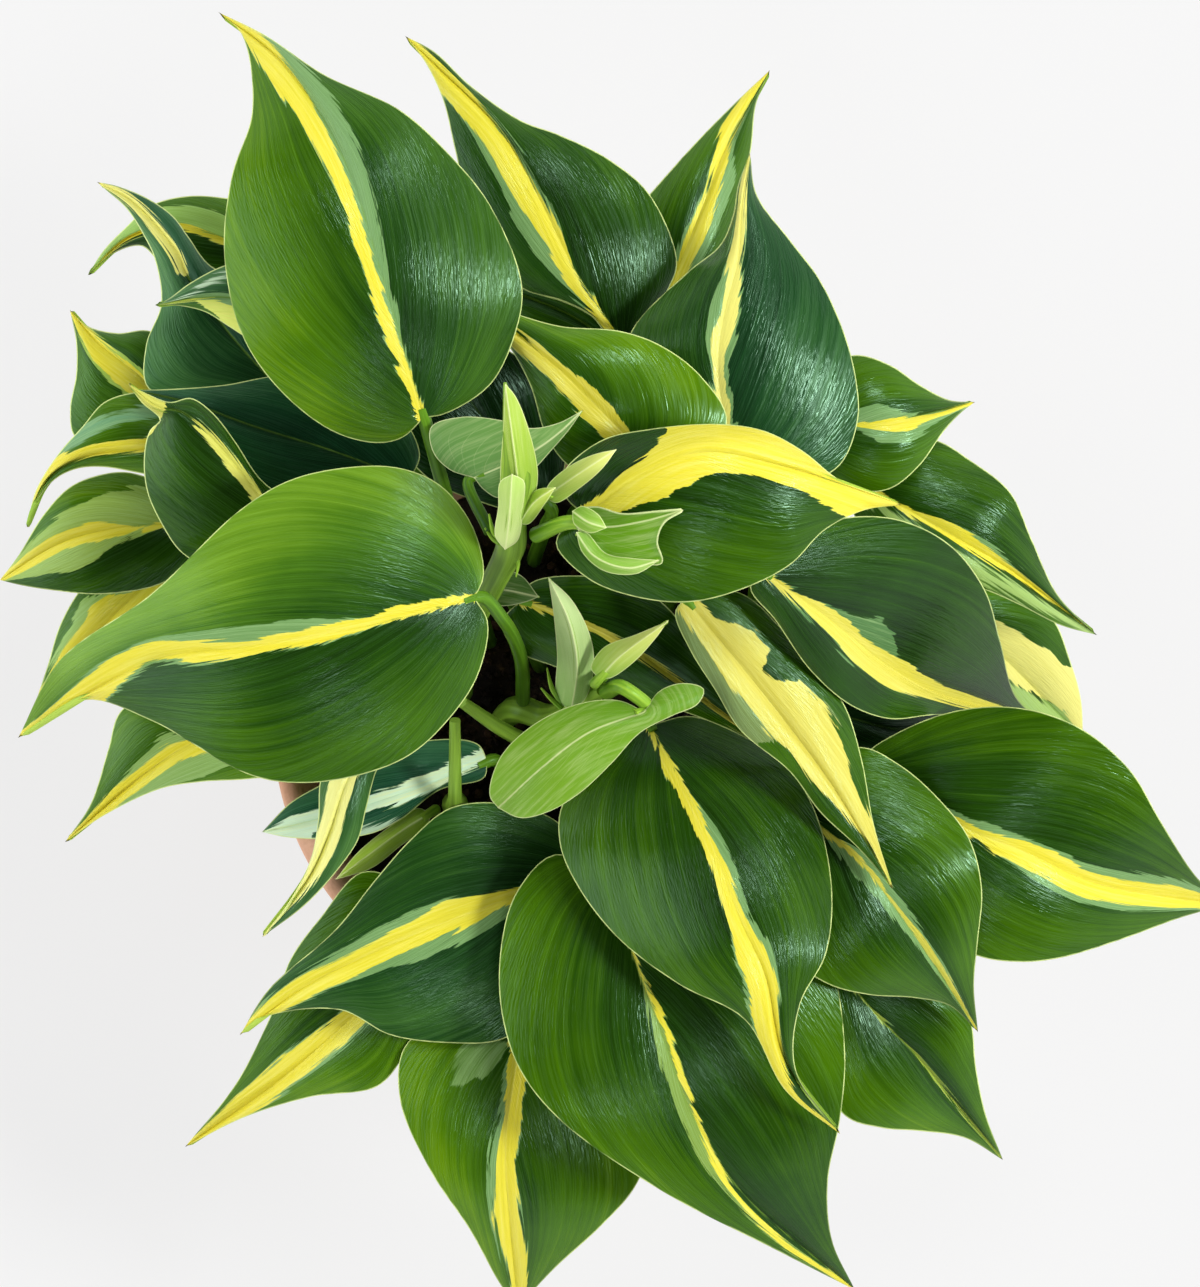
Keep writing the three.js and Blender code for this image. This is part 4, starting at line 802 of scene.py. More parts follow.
def underside_material():
    """The blade's matt, paler underside."""
    material, tree = new_material("leaf_underside")
    strokes = vein_strokes(tree, 0.9, 0.06)
    colour = tree.mix(tree.times(strokes, 0.6), linear(UNDERSIDE), linear(LEAF_GREEN))
    colour = tree.mix(tree.times(main_veins(tree), 0.5), colour, linear(LIME))
    colour = tree.coat(colour, linear(PALE_GOLD), tree.number("gold"), -0.2, 0.3, 0.0, 0.75)
    colour = tree.coat(colour, linear(LIME), tree.number("rib"), 0.5, 1.1, 0.8, 0.0)
    return finished(material, tree, colour, 0.5, 0.15, strokes, 0.4, 0.0003)


def young_leaf_material():
    """A young blade: soft light green between its own two colours, paler in streaks and at its edge."""
    material, tree = new_material("young_leaf_upper")
    strokes = vein_strokes(tree, 1.1, 0.1)
    lines = rib_lines(tree, 1.2, 0.08)
    cream = linear(CREAM)
    colour = tree.coat(tree.colour("tint"), cream, lines, 0.4, 0.75, 0.0, 0.16)
    colour = tree.coat(colour, linear(YOUNG_SHADE), strokes, 0.25, 0.5, 0.18, 0.0)
    colour = tree.mix(tree.times(main_veins(tree), 0.1), colour, cream)
    colour = tree.coat(colour, cream, tree.number("rib"), 0.1, 0.35, 0.5, 0.0)
    colour = tree.coat(colour, cream, tree.number("margin"), 0.1, 0.3, 0.5, 0.0)
    return finished(material, tree, colour, 0.28, 0.2, strokes, 0.35, 0.0003, wax=True)


def stem_material(name, low, high):
    """A stem's skin: lengthwise stripes of light and dark, from its darker foot to its lighter tip."""
    material, tree = new_material(name)
    turn = tree.times(tree.number("round"), 2 * math.pi)
    side = tree.times(tree.math("COSINE", turn), STEM_STRIPES)
    front = tree.times(tree.math("SINE", turn), STEM_STRIPES)
    stripes = tree.noise(tree.vector(side, front, tree.times(tree.number("along"), 2.5)), 1.0, 3.0)
    shade = tree.add(tree.times(tree.number("along"), 0.5), tree.times(tree.add(stripes, -0.3), 1.1))
    colour = tree.coat(linear(low), linear(high), shade, 0.0, 0.9)
    return finished(material, tree, colour, 0.3, 0.2, stripes, 0.35, 0.0004, wax=True)


def terracotta_material():
    """Dry clay: uneven, with pale mineral bloom and fine grit."""
    material, tree = new_material("terracotta")
    cloud = tree.noise(tree.place(), 22.0, 5.0, 0.6)
    grit = tree.noise(tree.place(), 900.0, 3.0, 0.7)
    colour = tree.ramp(cloud, [(0.3, CLAY_DARK), (0.5, CLAY), (0.75, CLAY_LIGHT)])
    colour = tree.coat(colour, linear(CLAY_DARK), grit, 0.35, 0.75, 0.0, 0.3)
    height = tree.add(tree.times(grit, 0.5), cloud)
    return finished(material, tree, colour, 0.85, 0.3, height, 0.4, 0.0006)


def soil_material():
    """Potting mix: dark crumbs with brown bark, its colours darkened further as painted shade from the
    leaves above.
    """
    material, tree = new_material("potting_mix")
    cloud = tree.noise(tree.place(), 120.0, 4.0, 0.6)
    crumb = tree.noise(tree.place(), 600.0, 4.0, 0.7)
    colour = tree.ramp(crumb, [(0.3, SOIL_DARK), (0.55, SOIL_BROWN), (0.8, SOIL_PALE)])
    colour = tree.coat(linear(SOIL_DARK), colour, cloud, 0.35, 0.7)
    return finished(material, tree, colour, 0.9, 0.2, crumb, 0.8, 0.001)


def bark_material():
    """Chips of brown bark."""
    material, tree = new_material("bark")
    grain = tree.noise(tree.place(), 700.0, 4.0, 0.7)
    colour = tree.coat(linear(SOIL_BROWN), linear(BARK), grain, 0.3, 0.7)
    return finished(material, tree, colour, 0.85, 0.2, grain, 0.6, 0.0005)


def floor_material():
    """A pale floor that mostly shines by itself, so that it is even and takes only a faint shade."""
    material, _ = new_material("pale_floor")
    inputs = material.node_tree.nodes["Principled BSDF"].inputs
    inputs["Base Color"].default_value = linear(BACKDROP, FLOOR_SHARE)
    inputs["Roughness"].default_value = 1
    inputs["Specular IOR Level"].default_value = 0
    inputs["Emission Color"].default_value = linear(BACKDROP)
    inputs["Emission Strength"].default_value = 1 - FLOOR_SHARE * FLOOR_LIGHT
    return material


def spline(points, steps=STEM_STEPS):
    """A centripetal Catmull-Rom curve through the points, with that many steps in each span."""
    corners = np.asarray(points, float)
    first = 2 * corners[0] - corners[1]
    last = 2 * corners[-1] - corners[-2]
    corners = np.vstack([first, corners, last])
    along = np.linspace(0, 1, steps, endpoint=False)[:, None]
    line = []
    for before, start, end, after in zip(corners[:-3], corners[1:-2], corners[2:-1], corners[3:]):
        k0 = np.linalg.norm(start - before) ** 0.5
        k1 = np.linalg.norm(end - start) ** 0.5
        k2 = np.linalg.norm(after - end) ** 0.5
        leave = ((start - before) / k0 - (end - before) / (k0 + k1) + (end - start) / k1) * k1
        arrive = ((end - start) / k1 - (after - start) / (k1 + k2) + (after - end) / k2) * k1
        bend = 2 * (start - end) + leave + arrive
        slope = 3 * (end - start) - 2 * leave - arrive
        line.append(((bend * along + slope) * along + leave) * along + start)
    line.append(corners[-2:-1])
    return np.vstack(line)


def at(line, fractions):
    """Places at those fractions of a line's length."""
    steps = np.linalg.norm(np.diff(line, axis=0), axis=1)
    length = np.concatenate([[0], np.cumsum(steps)])
    wanted = np.asarray(fractions) * length[-1]
    return np.stack([np.interp(wanted, length, line[:, k]) for k in range(line.shape[1])], axis=-1)


def place(plan, height):
    """The real place of a plan pixel at a height, as the eye above sees it."""
    plan = np.asarray(plan, float)
    height = np.asarray(height, float)
    scale = MM_PER_PIXEL * (EYE_HEIGHT - height) / (EYE_HEIGHT - RIM_TOP)
    x = EYE_X + (plan[..., 0] - EYE_PIXEL[0]) * scale
    y = EYE_Y - (plan[..., 1] - EYE_PIXEL[1]) * scale
    return np.stack([x, y, height + 0 * x], axis=-1)


def rib_height(heights, s):
    """The rib's height at a share of its length, on a soft arch through its three given heights."""
    base, middle, tip = heights
    return base * (1 - s) * (1 - 2 * s) + middle * 4 * s * (1 - s) + tip * s * (2 * s - 1)


def blade_lines(leaf):
    """The rib and the two halves of the outline, as close plan lines."""
    ends = {"rib": leaf["rib"]}
    for side in ("left", "right"):
        ends[side] = [leaf["rib"][0], *leaf[side], leaf["rib"][-1]]
    return {name: spline(points, LINE_STEPS) for name, points in ends.items()}


def blade_half(leaf, lines, side, t, q):
    """Plan places and real places of one half, for rows t from base to tip and columns q outwards."""
    t, q = np.meshgrid(t, q, indexing="ij")
    s = t ** VEIN_SWEEP
    plan = at(lines["rib"], s) * (1 - q[..., None]) + at(lines[side], t) * q[..., None]
    swell = np.sin(np.pi * t).clip(0) ** SWELL_POWER
    edge = leaf["edges"][0 if side == "left" else 1] * q ** EDGE_FALL
    crown = 0 if leaf.get("small") else BLADE_CROWN * 4 * q * (1 - q)
    wave = 0
    if leaf.get("large"):
        wave = WAVE_HEIGHT * q * q * np.sin(2 * np.pi * WAVE_COUNT * t + leaf["rib"][0][0])
    height = rib_height(leaf["heights"], s) + swell * (edge + crown + wave)
    return plan, place(plan, height)


def nearest(points, line):
    """Each point's distance to a line, and how far along the line its nearest place is."""
    distances = np.linalg.norm(points[:, None, :] - line[None, :, :], axis=2)
    index = distances.argmin(axis=1)
    return distances[np.arange(len(points)), index], index / (len(line) - 1)


def half_faces(side, start):
    """The faces of one half, whose own vertices start at that number, and the half's outer edge."""

    def corner(row, column):
        if row in (0, BLADE_ROWS) or column == 0:
            return row
        return start + (row - 1) * BLADE_COLUMNS + column - 1

    faces = []
    for i in range(BLADE_ROWS):
        for j in range(BLADE_COLUMNS):
            corners = [corner(i, j), corner(i, j + 1), corner(i + 1, j + 1), corner(i + 1, j)]
            corners = list(dict.fromkeys(corners))
            if len(corners) > 2:
                faces.append(corners if side == "right" else corners[::-1])
    return faces, [corner(i, BLADE_COLUMNS) for i in range(BLADE_ROWS + 1)]


def blade_grid(leaf, lines):
    """The upper face's vertices with their side, row and column, its faces, and the loop round it."""
    t = np.linspace(0, 1, BLADE_ROWS + 1)
    q = 0.5 - 0.5 * np.cos(np.pi * np.linspace(0, 1, BLADE_COLUMNS + 1))
    inner_rows = BLADE_ROWS - 1
    parts = []
    faces = []
    outline = []
    start = BLADE_ROWS + 1
    for side, sign in (("left", -1.0), ("right", 1.0)):
        plan, real = blade_half(leaf, lines, side, t, q)
        if not parts:
            parts.append((plan[:, 0], real[:, 0], t, 0 * t, 0 * t + 1))
        parts.append((
            plan[1:-1, 1:].reshape(-1, 2),
            real[1:-1, 1:].reshape(-1, 3),
            np.repeat(t[1:-1], BLADE_COLUMNS),
            np.tile(q[1:], inner_rows),
            np.full(inner_rows * BLADE_COLUMNS, sign),
        ))
        own_faces, edge = half_faces(side, start)
        faces += own_faces
        outline.append(edge)
        start += inner_rows * BLADE_COLUMNS
    columns = [np.concatenate(column) for column in zip(*parts)]
    return dict(zip(("plan", "place", "t", "q", "side"), columns)), faces, outline[0] + outline[1][-2:0:-1]


def vertex_normals(places, faces):
    """The normal at each vertex, from the three- and four-sided faces round it."""
    normals = np.zeros_like(places)
    for count in (3, 4):
        corners = np.array([face for face in faces if len(face) == count])
        across = places[corners[:, count - 2]] - places[corners[:, 0]]
        along = places[corners[:, -1]] - places[corners[:, 1]]
        normal = np.cross(across, along)
        for k in range(count):
            np.add.at(normals, corners[:, k], normal)
    return normals / np.maximum(np.linalg.norm(normals, axis=1), 1e-9)[:, None]


def band(rows, low, high, s, offset):
    """How far inside a marking each place is, in millimetres; low and high are its borders' columns."""
    if not rows:
        return np.full(len(s), NO_BAND)
    full = [row if len(row) == 5 else (row[0], row[1], row[1], row[2], row[2]) for row in rows]
    columns = np.array(full, float).T
    inside = np.minimum(offset - np.interp(s, columns[0], columns[low]),
                        np.interp(s, columns[0], columns[high]) - offset)
    return inside * MM_PER_PIXEL


def blade_fields(leaf, lines, grid):
    """Numbers that the blade's material reads at each vertex."""
    distance, s = nearest(grid["plan"], lines["rib"])
    edges = [nearest(grid["plan"], lines[side])[0] for side in ("left", "right")]
    offset = distance * grid["side"]
    half = (grid["side"] + 1) / 2
    outline_length = np.linalg.norm(np.diff(lines["left"], axis=0), axis=1).sum() * MM_PER_PIXEL
    vein = grid["t"] - VEIN_LAG * grid["q"] ** VEIN_BEND
    stripe = leaf.get("stripe")
    bright = leaf.get("bright", PLAIN_BRIGHT)
    cool = leaf.get("cool", (0, 0))
    return {
        "gold": band(stripe, 2, 3, s, offset),
        "silver": band(stripe, 1, 4, s, offset),
        "patch": band(leaf.get("patch"), 2, 3, s, offset),
        "rib": distance * MM_PER_PIXEL,
        "offset": offset * MM_PER_PIXEL,
        "reach": np.linalg.norm(grid["plan"] - lines["rib"][0], axis=1) * MM_PER_PIXEL,
        "margin": np.minimum(*edges) * MM_PER_PIXEL,
        "ragged": np.clip(TIP_CALM * (1 - s), 0, 1),
        "out": grid["q"],
        "vein": vein * outline_length + grid["side"] * SIDE_SHIFT,
        "veins": vein * VEIN_COUNT,
        "bright": bright[0] * (1 - half) + bright[1] * half,
        "cool": cool[0] * (1 - half) + cool[1] * half,
        "seed": np.full(len(s), np.dot(leaf["rib"][0], SEED_STEPS)),
    }


def blade_tints(leaf, t):
    """The blade's own colours: of its stripe, silver and patch, and of a young blade from base to tip."""
    base, tip = [np.array(linear(tint)) for tint in leaf.get("tint", (LIME, LIME))]
    flat = np.ones((len(t), 1))
    return {
        "gold_tint": flat * linear(leaf.get("gold", GOLD)),
        "silver_tint": flat * linear(leaf.get("silver", SILVER_GREEN)),
        "patch_tint": flat * linear(leaf.get("patch_tint", SPARE_GREEN)),
        "tint": base * (1 - t)[:, None] + tip * t[:, None],
    }


def blade_thickness(leaf, grid, away):
    """How thick the blade is at each vertex: thin at its margin, and thick near its rib."""
    slender = YOUNG_RIB if leaf.get("small") else 1
    ridge = RIB_THICKNESS * slender * (1 - grid["t"]) ** RIDGE_FALL
    ridge = ridge * np.exp(-(away / RIDGE_WIDTH) ** 2)
    return MARGIN_THICKNESS + CENTRE_THICKNESS * (1 - grid["q"]) + ridge


def edge_faces(upper, loop, count):
    """The narrow faces that close a blade all round; the underside's vertices start at count."""
    edges = {(a, b) for face in upper for a, b in zip(face, face[1:] + face[:1])}
    faces = []
    for a, b in zip(loop, loop[1:] + loop[:1]):
        if (a, b) in edges:
            faces.append([b, a, a + count, b + count])
        else:
            faces.append([a, b, b + count, a + count])
    return faces


def blade_mesh(leaf, lines, materials):
    """A thin closed blade: its upper face, its underside with the rib standing out, and its edge."""
    grid, upper, loop = blade_grid(leaf, lines)
    fields = blade_fields(leaf, lines, grid)
    places = grid["place"]
    if vertex_normals(places, upper)[:, 2].sum() < 0:
        upper = [face[::-1] for face in upper]
        loop = loop[::-1]
    groove = RIB_GROOVE * np.exp(-(fields["rib"] / RIB_WIDTH) ** 2) * np.sin(np.pi * grid["t"]).clip(0)
    places[:, 2] -= groove
    thickness = blade_thickness(leaf, grid, fields["rib"])
    under = places - vertex_normals(places, upper) * thickness[:, None]
    count = len(places)
    lower = [[count + corner for corner in face[::-1]] for face in upper]
    edge = edge_faces(upper, loop, count)
    mesh = mesh_from(leaf["name"] + "_blade", np.vstack([places, under]), upper + lower + edge)
    for name, values in fields.items():
        add_number(mesh, name, np.concatenate([values, values]))
    for name, colours in blade_tints(leaf, np.concatenate([grid["t"], grid["t"]])).items():
        add_colour(mesh, name, colours)
    kinds = [0] * len(upper) + [1] * len(lower) + [0] * len(edge)
    mesh.polygons.foreach_set("material_index", kinds)
    for material in materials:
        mesh.materials.append(material)
    return mesh


def mesh_from(name, places, faces):
    """A smooth mesh of places in millimetres."""
    mesh = bpy.data.meshes.new(name)
    mesh.from_pydata((places * MM).tolist(), [], faces)
    mesh.polygons.foreach_set("use_smooth", [True] * len(mesh.polygons))
    return mesh


def add_number(mesh, name, values):
    attribute = mesh.attributes.new(name, "FLOAT", "POINT")
    attribute.data.foreach_set("value", np.asarray(values, np.float32))


def add_colour(mesh, name, colours):
    attribute = mesh.attributes.new(name, "FLOAT_COLOR", "POINT")
    attribute.data.foreach_set("color", np.asarray(colours, np.float32).ravel())


def new_group(name, inputs, result):
    """An empty geometry node tree: its helper, its inputs' sockets, and itself with their identifiers."""
    group = bpy.data.node_groups.new(name, "GeometryNodeTree")
    identifiers = {}
    for label, kind in inputs.items():
        socket = group.interface.new_socket(label, in_out="INPUT", socket_type="NodeSocket" + kind)
        identifiers[label] = socket.identifier
    group.interface.new_socket(result, in_out="OUTPUT", socket_type="NodeSocketGeometry")
    return Tree(group), group.nodes.new("NodeGroupInput").outputs, (group, identifiers)


def close_group(tree, geometry, skin):
    """Ends a tree with its instances made real and its skin put on."""
    real = tree.node("GeometryNodeRealizeInstances", {"Geometry": geometry})
    painted = tree.node("GeometryNodeSetMaterial", {"Geometry": real, "Material": skin})
    tree.put(tree.nodes.new("NodeGroupOutput").inputs[0], painted)


def stem_tree():
    """Geometry nodes that sweep a round stem along a line, as wide at each place as it says."""
    inputs = {"Line": "Geometry", "Sides": "Int", "Skin": "Material"}
    tree, given, group = new_group("round_stem", inputs, "Stem")
    ring = tree.node("GeometryNodeCurvePrimitiveCircle", {"Resolution": given["Sides"], "Radius": 1})
    turn = tree.node("GeometryNodeSplineParameter", {}, "Factor")
    marked = {"Geometry": ring, "Name": "round", "Value": turn}
    sweep = tree.node("GeometryNodeCurveToMesh", {
        "Curve": tree.node("GeometryNodeMeshToCurve", {"Mesh": given["Line"]}),
        "Profile Curve": tree.node("GeometryNodeStoreNamedAttribute", marked),
        "Scale": tree.node("GeometryNodeInputNamedAttribute", {"Name": "width"}, "Attribute"),
        "Fill Caps": True,
    })
    close_group(tree, tree.node("GeometryNodeSetShadeSmooth", {"Geometry": sweep}), given["Skin"])
    return group


def grain_tree():
    """Geometry nodes that scatter rounded crumbs over a bed, each with its own size and turn."""
    inputs = {
        "Bed": "Geometry", "Density": "Float", "Smallest": "Vector", "Largest": "Vector", "Seed": "Int",
        "Skin": "Material",
    }
    tree, given, group = new_group("scattered_crumbs", inputs, "Crumbs")
    seed = given["Seed"]
    scatter = {"Mesh": given["Bed"], "Density": given["Density"], "Seed": seed}

    def drawn(low, high):
        limits = {0: low, 1: high, "Seed": seed}
        return tree.node("FunctionNodeRandomValue", limits, data_type="FLOAT_VECTOR")

    spread = tree.node("GeometryNodeInstanceOnPoints", {
        "Points": tree.node("GeometryNodeDistributePointsOnFaces", scatter),
        "Instance": tree.node("GeometryNodeMeshIcoSphere", {"Radius": 1, "Subdivisions": 1}),
        "Rotation": drawn((0, 0, 0), (2 * math.pi,) * 3),
        "Scale": drawn(given["Smallest"], given["Largest"]),
    })
    close_group(tree, spread, given["Skin"])
    return group


def shown(name, data):
    """A new object in the scene."""
    thing = bpy.data.objects.new(name, data)
    bpy.context.scene.collection.objects.link(thing)
    return thing


def plain_mesh(carrier):
    """The mesh that an object's modifiers make of its own; the object is taken away."""
    evaluated = carrier.evaluated_get(bpy.context.evaluated_depsgraph_get())
    made = bpy.data.meshes.new_from_object(evaluated)
    bpy.data.objects.remove(carrier)
    return made


def worked_out(name, mesh, tree, inputs):
    """The plain mesh that a geometry node tree makes from a mesh."""
    group, identifiers = tree
    carrier = shown(name, mesh)
    modifier = carrier.modifiers.new("maker", "NODES")
    modifier.node_group = group
    for label, value in inputs.items():
        modifier[identifiers[label]] = value
    made = plain_mesh(carrier)
    bpy.data.meshes.remove(mesh)
    made.name = name
    return made


def stem_mesh(name, places, radii, skin):
    """A round stem through places in millimetres, with a radius at each."""
    line = spline(places)
    steps = np.linspace(0, len(places) - 1, len(line))
    widths = np.interp(steps, np.arange(len(places)), radii)
    mesh = bpy.data.meshes.new(name)
    edges = [(i, i + 1) for i in range(len(line) - 1)]
    mesh.from_pydata((line * MM).tolist(), edges, [])
    add_number(mesh, "width", widths * MM)
    add_number(mesh, "along", np.linspace(0, 1, len(line)))
    return worked_out(name, mesh, STEM_TREE, {"Sides": STEM_SIDES, "Skin": skin})


def petiole_places(leaf, lines):
    """The petiole's way from its foot, up and over to just inside the blade's base."""
    base = place(leaf["rib"][0], leaf["heights"][0])
    ahead = blade_half(leaf, lines, "left", np.array([BASE_STEP]), np.array([0.0]))[1][0, 0]
    along = (ahead - base) / np.linalg.norm(ahead - base)
    below = np.array([0, 0, -(CAD_THICKNESS + PETIOLE_TIP_RADIUS) / 2])
    inner = base + along * PETIOLE_INSET + below
    joint = base - along * PETIOLE_BEND + below
    foot = leaf["foot"]
    vias = stood(leaf.get("via", []))
    if len(foot) == 3:
        return [*stood([foot]), *vias, joint, inner]
    root = place(foot, SOIL_TOP - STEM_DEPTH)
    collar = np.array([root[0], root[1], SOIL_TOP + SOIL_RELIEF + 1])
    if vias:
        return [root, collar, *vias, joint, inner]
    arch = []
    for out, up in PETIOLE_ARCH:
        step = collar + (joint - collar) * out
        step[2] = collar[2] + (joint[2] - collar[2]) * up
        arch.append(step)
    return [root, collar, *arch, joint, inner]


def joined(name, meshes):
    """One mesh of several, each keeping its own materials."""
    whole = bmesh.new()
    materials = []
    for mesh in meshes:
        before = len(whole.faces)
        whole.from_mesh(mesh)
        whole.faces.ensure_lookup_table()
        first = len(materials)
        for face in whole.faces[before:]:
            face.material_index += first
        materials += list(mesh.materials)
    result = bpy.data.meshes.new(name)
    whole.to_mesh(result)
    whole.free()
    for material in materials:
        result.materials.append(material)
    for mesh in meshes:
        bpy.data.meshes.remove(mesh)
    return result


def add_piece(mesh, node):
    """Shows a finished mesh as a piece of the plant, in place of its node."""
    piece = shown("fine_" + node, mesh)
    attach(piece, "root")
    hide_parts(node)


def stood(path):
    """The real places of plan pixels with a height each."""
    return [place(point[:2], point[2]) for point in path]


def dressing(node, skins):
    """The small sheaths, rolled lobes and root tips that belong to a node."""
    young = [skins["young"], skins["underside"]]
    meshes = [blade_mesh(fold, blade_lines(fold), young) for fold in FOLDS if fold["on"] == node]
    for i, twig in enumerate(twig for twig in TWIGS if twig["on"] == node):
        name = node + "_twig_" + str(i)
        meshes.append(stem_mesh(name, stood(twig["path"]), twig["radii"], skins["young_petiole"]))
    return meshes


def leaf_piece(leaf, skins):
    """A blade with its petiole, and the small parts that belong to it."""
    name = leaf["name"]
    lines = blade_lines(leaf)
    small = leaf.get("small", False)
    upper = skins["young"] if small else skins["striped"]
    blade = blade_mesh(leaf, lines, [upper, skins["underside"]])
    places = petiole_places(leaf, lines)
    slenderness = (YOUNG_SLENDERNESS if small else 1) * leaf.get("girth", 1)
    radii = slenderness * np.linspace(PETIOLE_FOOT_RADIUS, PETIOLE_TIP_RADIUS, len(places))
    skin = skins["young_petiole"] if small and name not in DARK_STALKS else skins["petiole"]
    petiole = stem_mesh(name + "_petiole", places, radii, skin)
    mesh = joined("fine_" + name, [blade, petiole, *dressing(name, skins)])
    add_piece(mesh, name)


def vine_piece(vine, skins):
    """A thick stem, and the small parts that stand off it."""
    name = vine["name"]
    stem = stem_mesh(name + "_stem", stood(vine["path"]), vine["radii"], skins["vine"])
    add_piece(joined("fine_" + name, [stem, *dressing(name, skins)]), name)


def inner_radius(height):
    """The radius of the pot's inside at a height."""
    share = (height - POT_FLOOR) / (RIM_TOP - POT_FLOOR)
    return (FOOT_RADIUS - POT_WALL) * (1 - share) + (RIM_RADIUS - RIM_WALL) * share


def turned(name, profile, segments):
    """A solid of revolution; profile is (radius, height) and starts and ends on the axis."""
    rings = profile[1:-1]
    turn = np.linspace(0, 2 * np.pi, segments, endpoint=False)
    places = [[0, 0, profile[0][1]], [0, 0, profile[-1][1]]]
    for radius, height in rings:
        places += [[radius * np.cos(a), radius * np.sin(a), height] for a in turn]
    faces = []
    last = 2 + (len(rings) - 1) * segments
    for k in range(segments):
        after = (k + 1) % segments
        faces.append([0, 2 + after, 2 + k])
        faces.append([1, last + k, last + after])
        for i in range(len(rings) - 1):
            low, high = 2 + i * segments, 2 + (i + 1) * segments
            faces.append([low + k, low + after, high + after, high + k])
    return mesh_from(name, np.array(places, float), faces)


def softened(profile, radius, steps=4):
    """A profile whose inner corners are rounded by short curves."""
    soft = [profile[0]]
    points = np.array(profile, float)
    for before, corner, after in zip(points[:-2], points[1:-1], points[2:]):
        back, ahead = np.linalg.norm(before - corner), np.linalg.norm(after - corner)
        cut = min(radius, back * 0.45, ahead * 0.45)
        start = corner + (before - corner) / back * cut
        end = corner + (after - corner) / ahead * cut
        for u in np.linspace(0, 1, steps):
            soft.append(tuple(start * (1 - u) ** 2 + corner * 2 * u * (1 - u) + end * u * u))
    soft.append(profile[-1])
    return soft


def drain_holes():
    """The three round cutters of the pot's foot, as one mesh."""
    low, high = -POT_FLOOR, 2 * POT_FLOOR
    drains = []
    for i in range(DRAIN_COUNT):
        turn = 2 * np.pi * i / DRAIN_COUNT
        hole = turned("drain", [(0, low), (DRAIN_RADIUS, low), (DRAIN_RADIUS, high), (0, high)], DRAIN_SIDES)
        x, y = DRAIN_RING * np.cos(turn), DRAIN_RING * np.sin(turn)
        hole.transform(Matrix.Translation((x * MM, y * MM, 0)))
        drains.append(hole)
    return joined("drains", drains)


def pot_piece(skin):
    """The terracotta pot: its foot, wall and thick rolled rim, drained through its floor."""
    rim_foot = RIM_TOP - RIM_DEPTH
    profile = [
        (0, 0),
        (FOOT_RADIUS - 1.5, 0),
        (FOOT_RADIUS, 1.5),
        (NECK_RADIUS - 1, rim_foot),
        (RIM_RADIUS - 3, rim_foot + 1),
        (RIM_RADIUS - 2.2, rim_foot + 3),
        (RIM_RADIUS, RIM_TOP - 4),
        (RIM_RADIUS - 0.8, RIM_TOP - 1.2),
        (RIM_RADIUS - 3, RIM_TOP),
        (RIM_RADIUS - RIM_WALL + 1.8, RIM_TOP - 0.6),
        (inner_radius(RIM_TOP - 4), RIM_TOP - 4),
        (inner_radius(POT_FLOOR + 3), POT_FLOOR + 3),
        (inner_radius(POT_FLOOR) - 2, POT_FLOOR),
        (0, POT_FLOOR),
    ]
    mesh = turned("pot_wall", softened(profile, EDGE_SOFTNESS), POT_SIDES)
    mesh.materials.append(skin)
    cutter = shown("drains", drain_holes())
    carrier = shown("pot_wall", mesh)
    drill = carrier.modifiers.new("drains", "BOOLEAN")
    drill.object = cutter
    drill.solver = "EXACT"
    made = plain_mesh(carrier)
    bpy.data.objects.remove(cutter)
    add_piece(made, "pot")


def soil_relief(x, y):
    """How far the soil's top rises or falls at a place."""
    wide = np.sin(x * 0.13 + 0.6) * np.cos(y * 0.11 - 0.4)
    fine = np.sin(x * 0.31 - y * 0.23)
    return SOIL_RELIEF * (0.6 * wide + 0.3 * fine)


def roughened(mesh, edge):
    """The mesh with its top raised into the soil's soft unevenness, which dies out at the edge."""
    places = np.zeros(len(mesh.vertices) * 3)
    mesh.vertices.foreach_get("co", places)
    places = places.reshape(-1, 3) / MM
    top = places[:, 2] > SOIL_TOP - 1
    x, y = places[:, 0], places[:, 1]
    inside = np.clip((edge - np.hypot(x, y)) / (edge * 0.1), 0, 1)
    places[top, 2] += (inside * soil_relief(x, y))[top]
    mesh.vertices.foreach_set("co", (places * MM).ravel())
    return mesh


def crumbs(edge, tree, name, density, smallest, largest, seed, skin):
    """Loose crumbs over the soil's top: density is how many lie on a square millimetre."""
    bed_edge = edge - BED_MARGIN
    rings = [(bed_edge * ring, SOIL_TOP) for ring in np.linspace(1, 0, BED_RINGS)]
    bed = roughened(turned(name + "_bed", rings, BED_SIDES), edge)
    return worked_out(name, bed, tree, {
        "Density": density / MM ** 2,
        "Smallest": [side * MM for side in smallest],
        "Largest": [side * MM for side in largest],
        "Seed": seed,
        "Skin": skin,
    })


def soil_piece(skin, bark_skin):
    """The body of potting mix with its loose crumbs and bark chips."""
    edge = inner_radius(SOIL_TOP) - CLEARANCE
    bottom = POT_FLOOR + CLEARANCE
    profile = [(0, bottom), (inner_radius(POT_FLOOR) - 2.6, bottom),
               (inner_radius(POT_FLOOR + 3) - CLEARANCE, POT_FLOOR + 3.2)]
    profile += [(edge * ring, SOIL_TOP) for ring in np.linspace(1, 0.02, SOIL_RINGS)]
    profile += [(0, SOIL_TOP)]
    body = roughened(turned("soil_body", profile, POT_SIDES), edge)
    body.materials.append(skin)
    tree = grain_tree()
    grains = crumbs(edge, tree, "grains", *GRAINS, skin)
    bark = crumbs(edge, tree, "bark", *BARK_CHIPS, bark_skin)
    add_piece(joined("fine_soil", [body, grains, bark]), "soil")


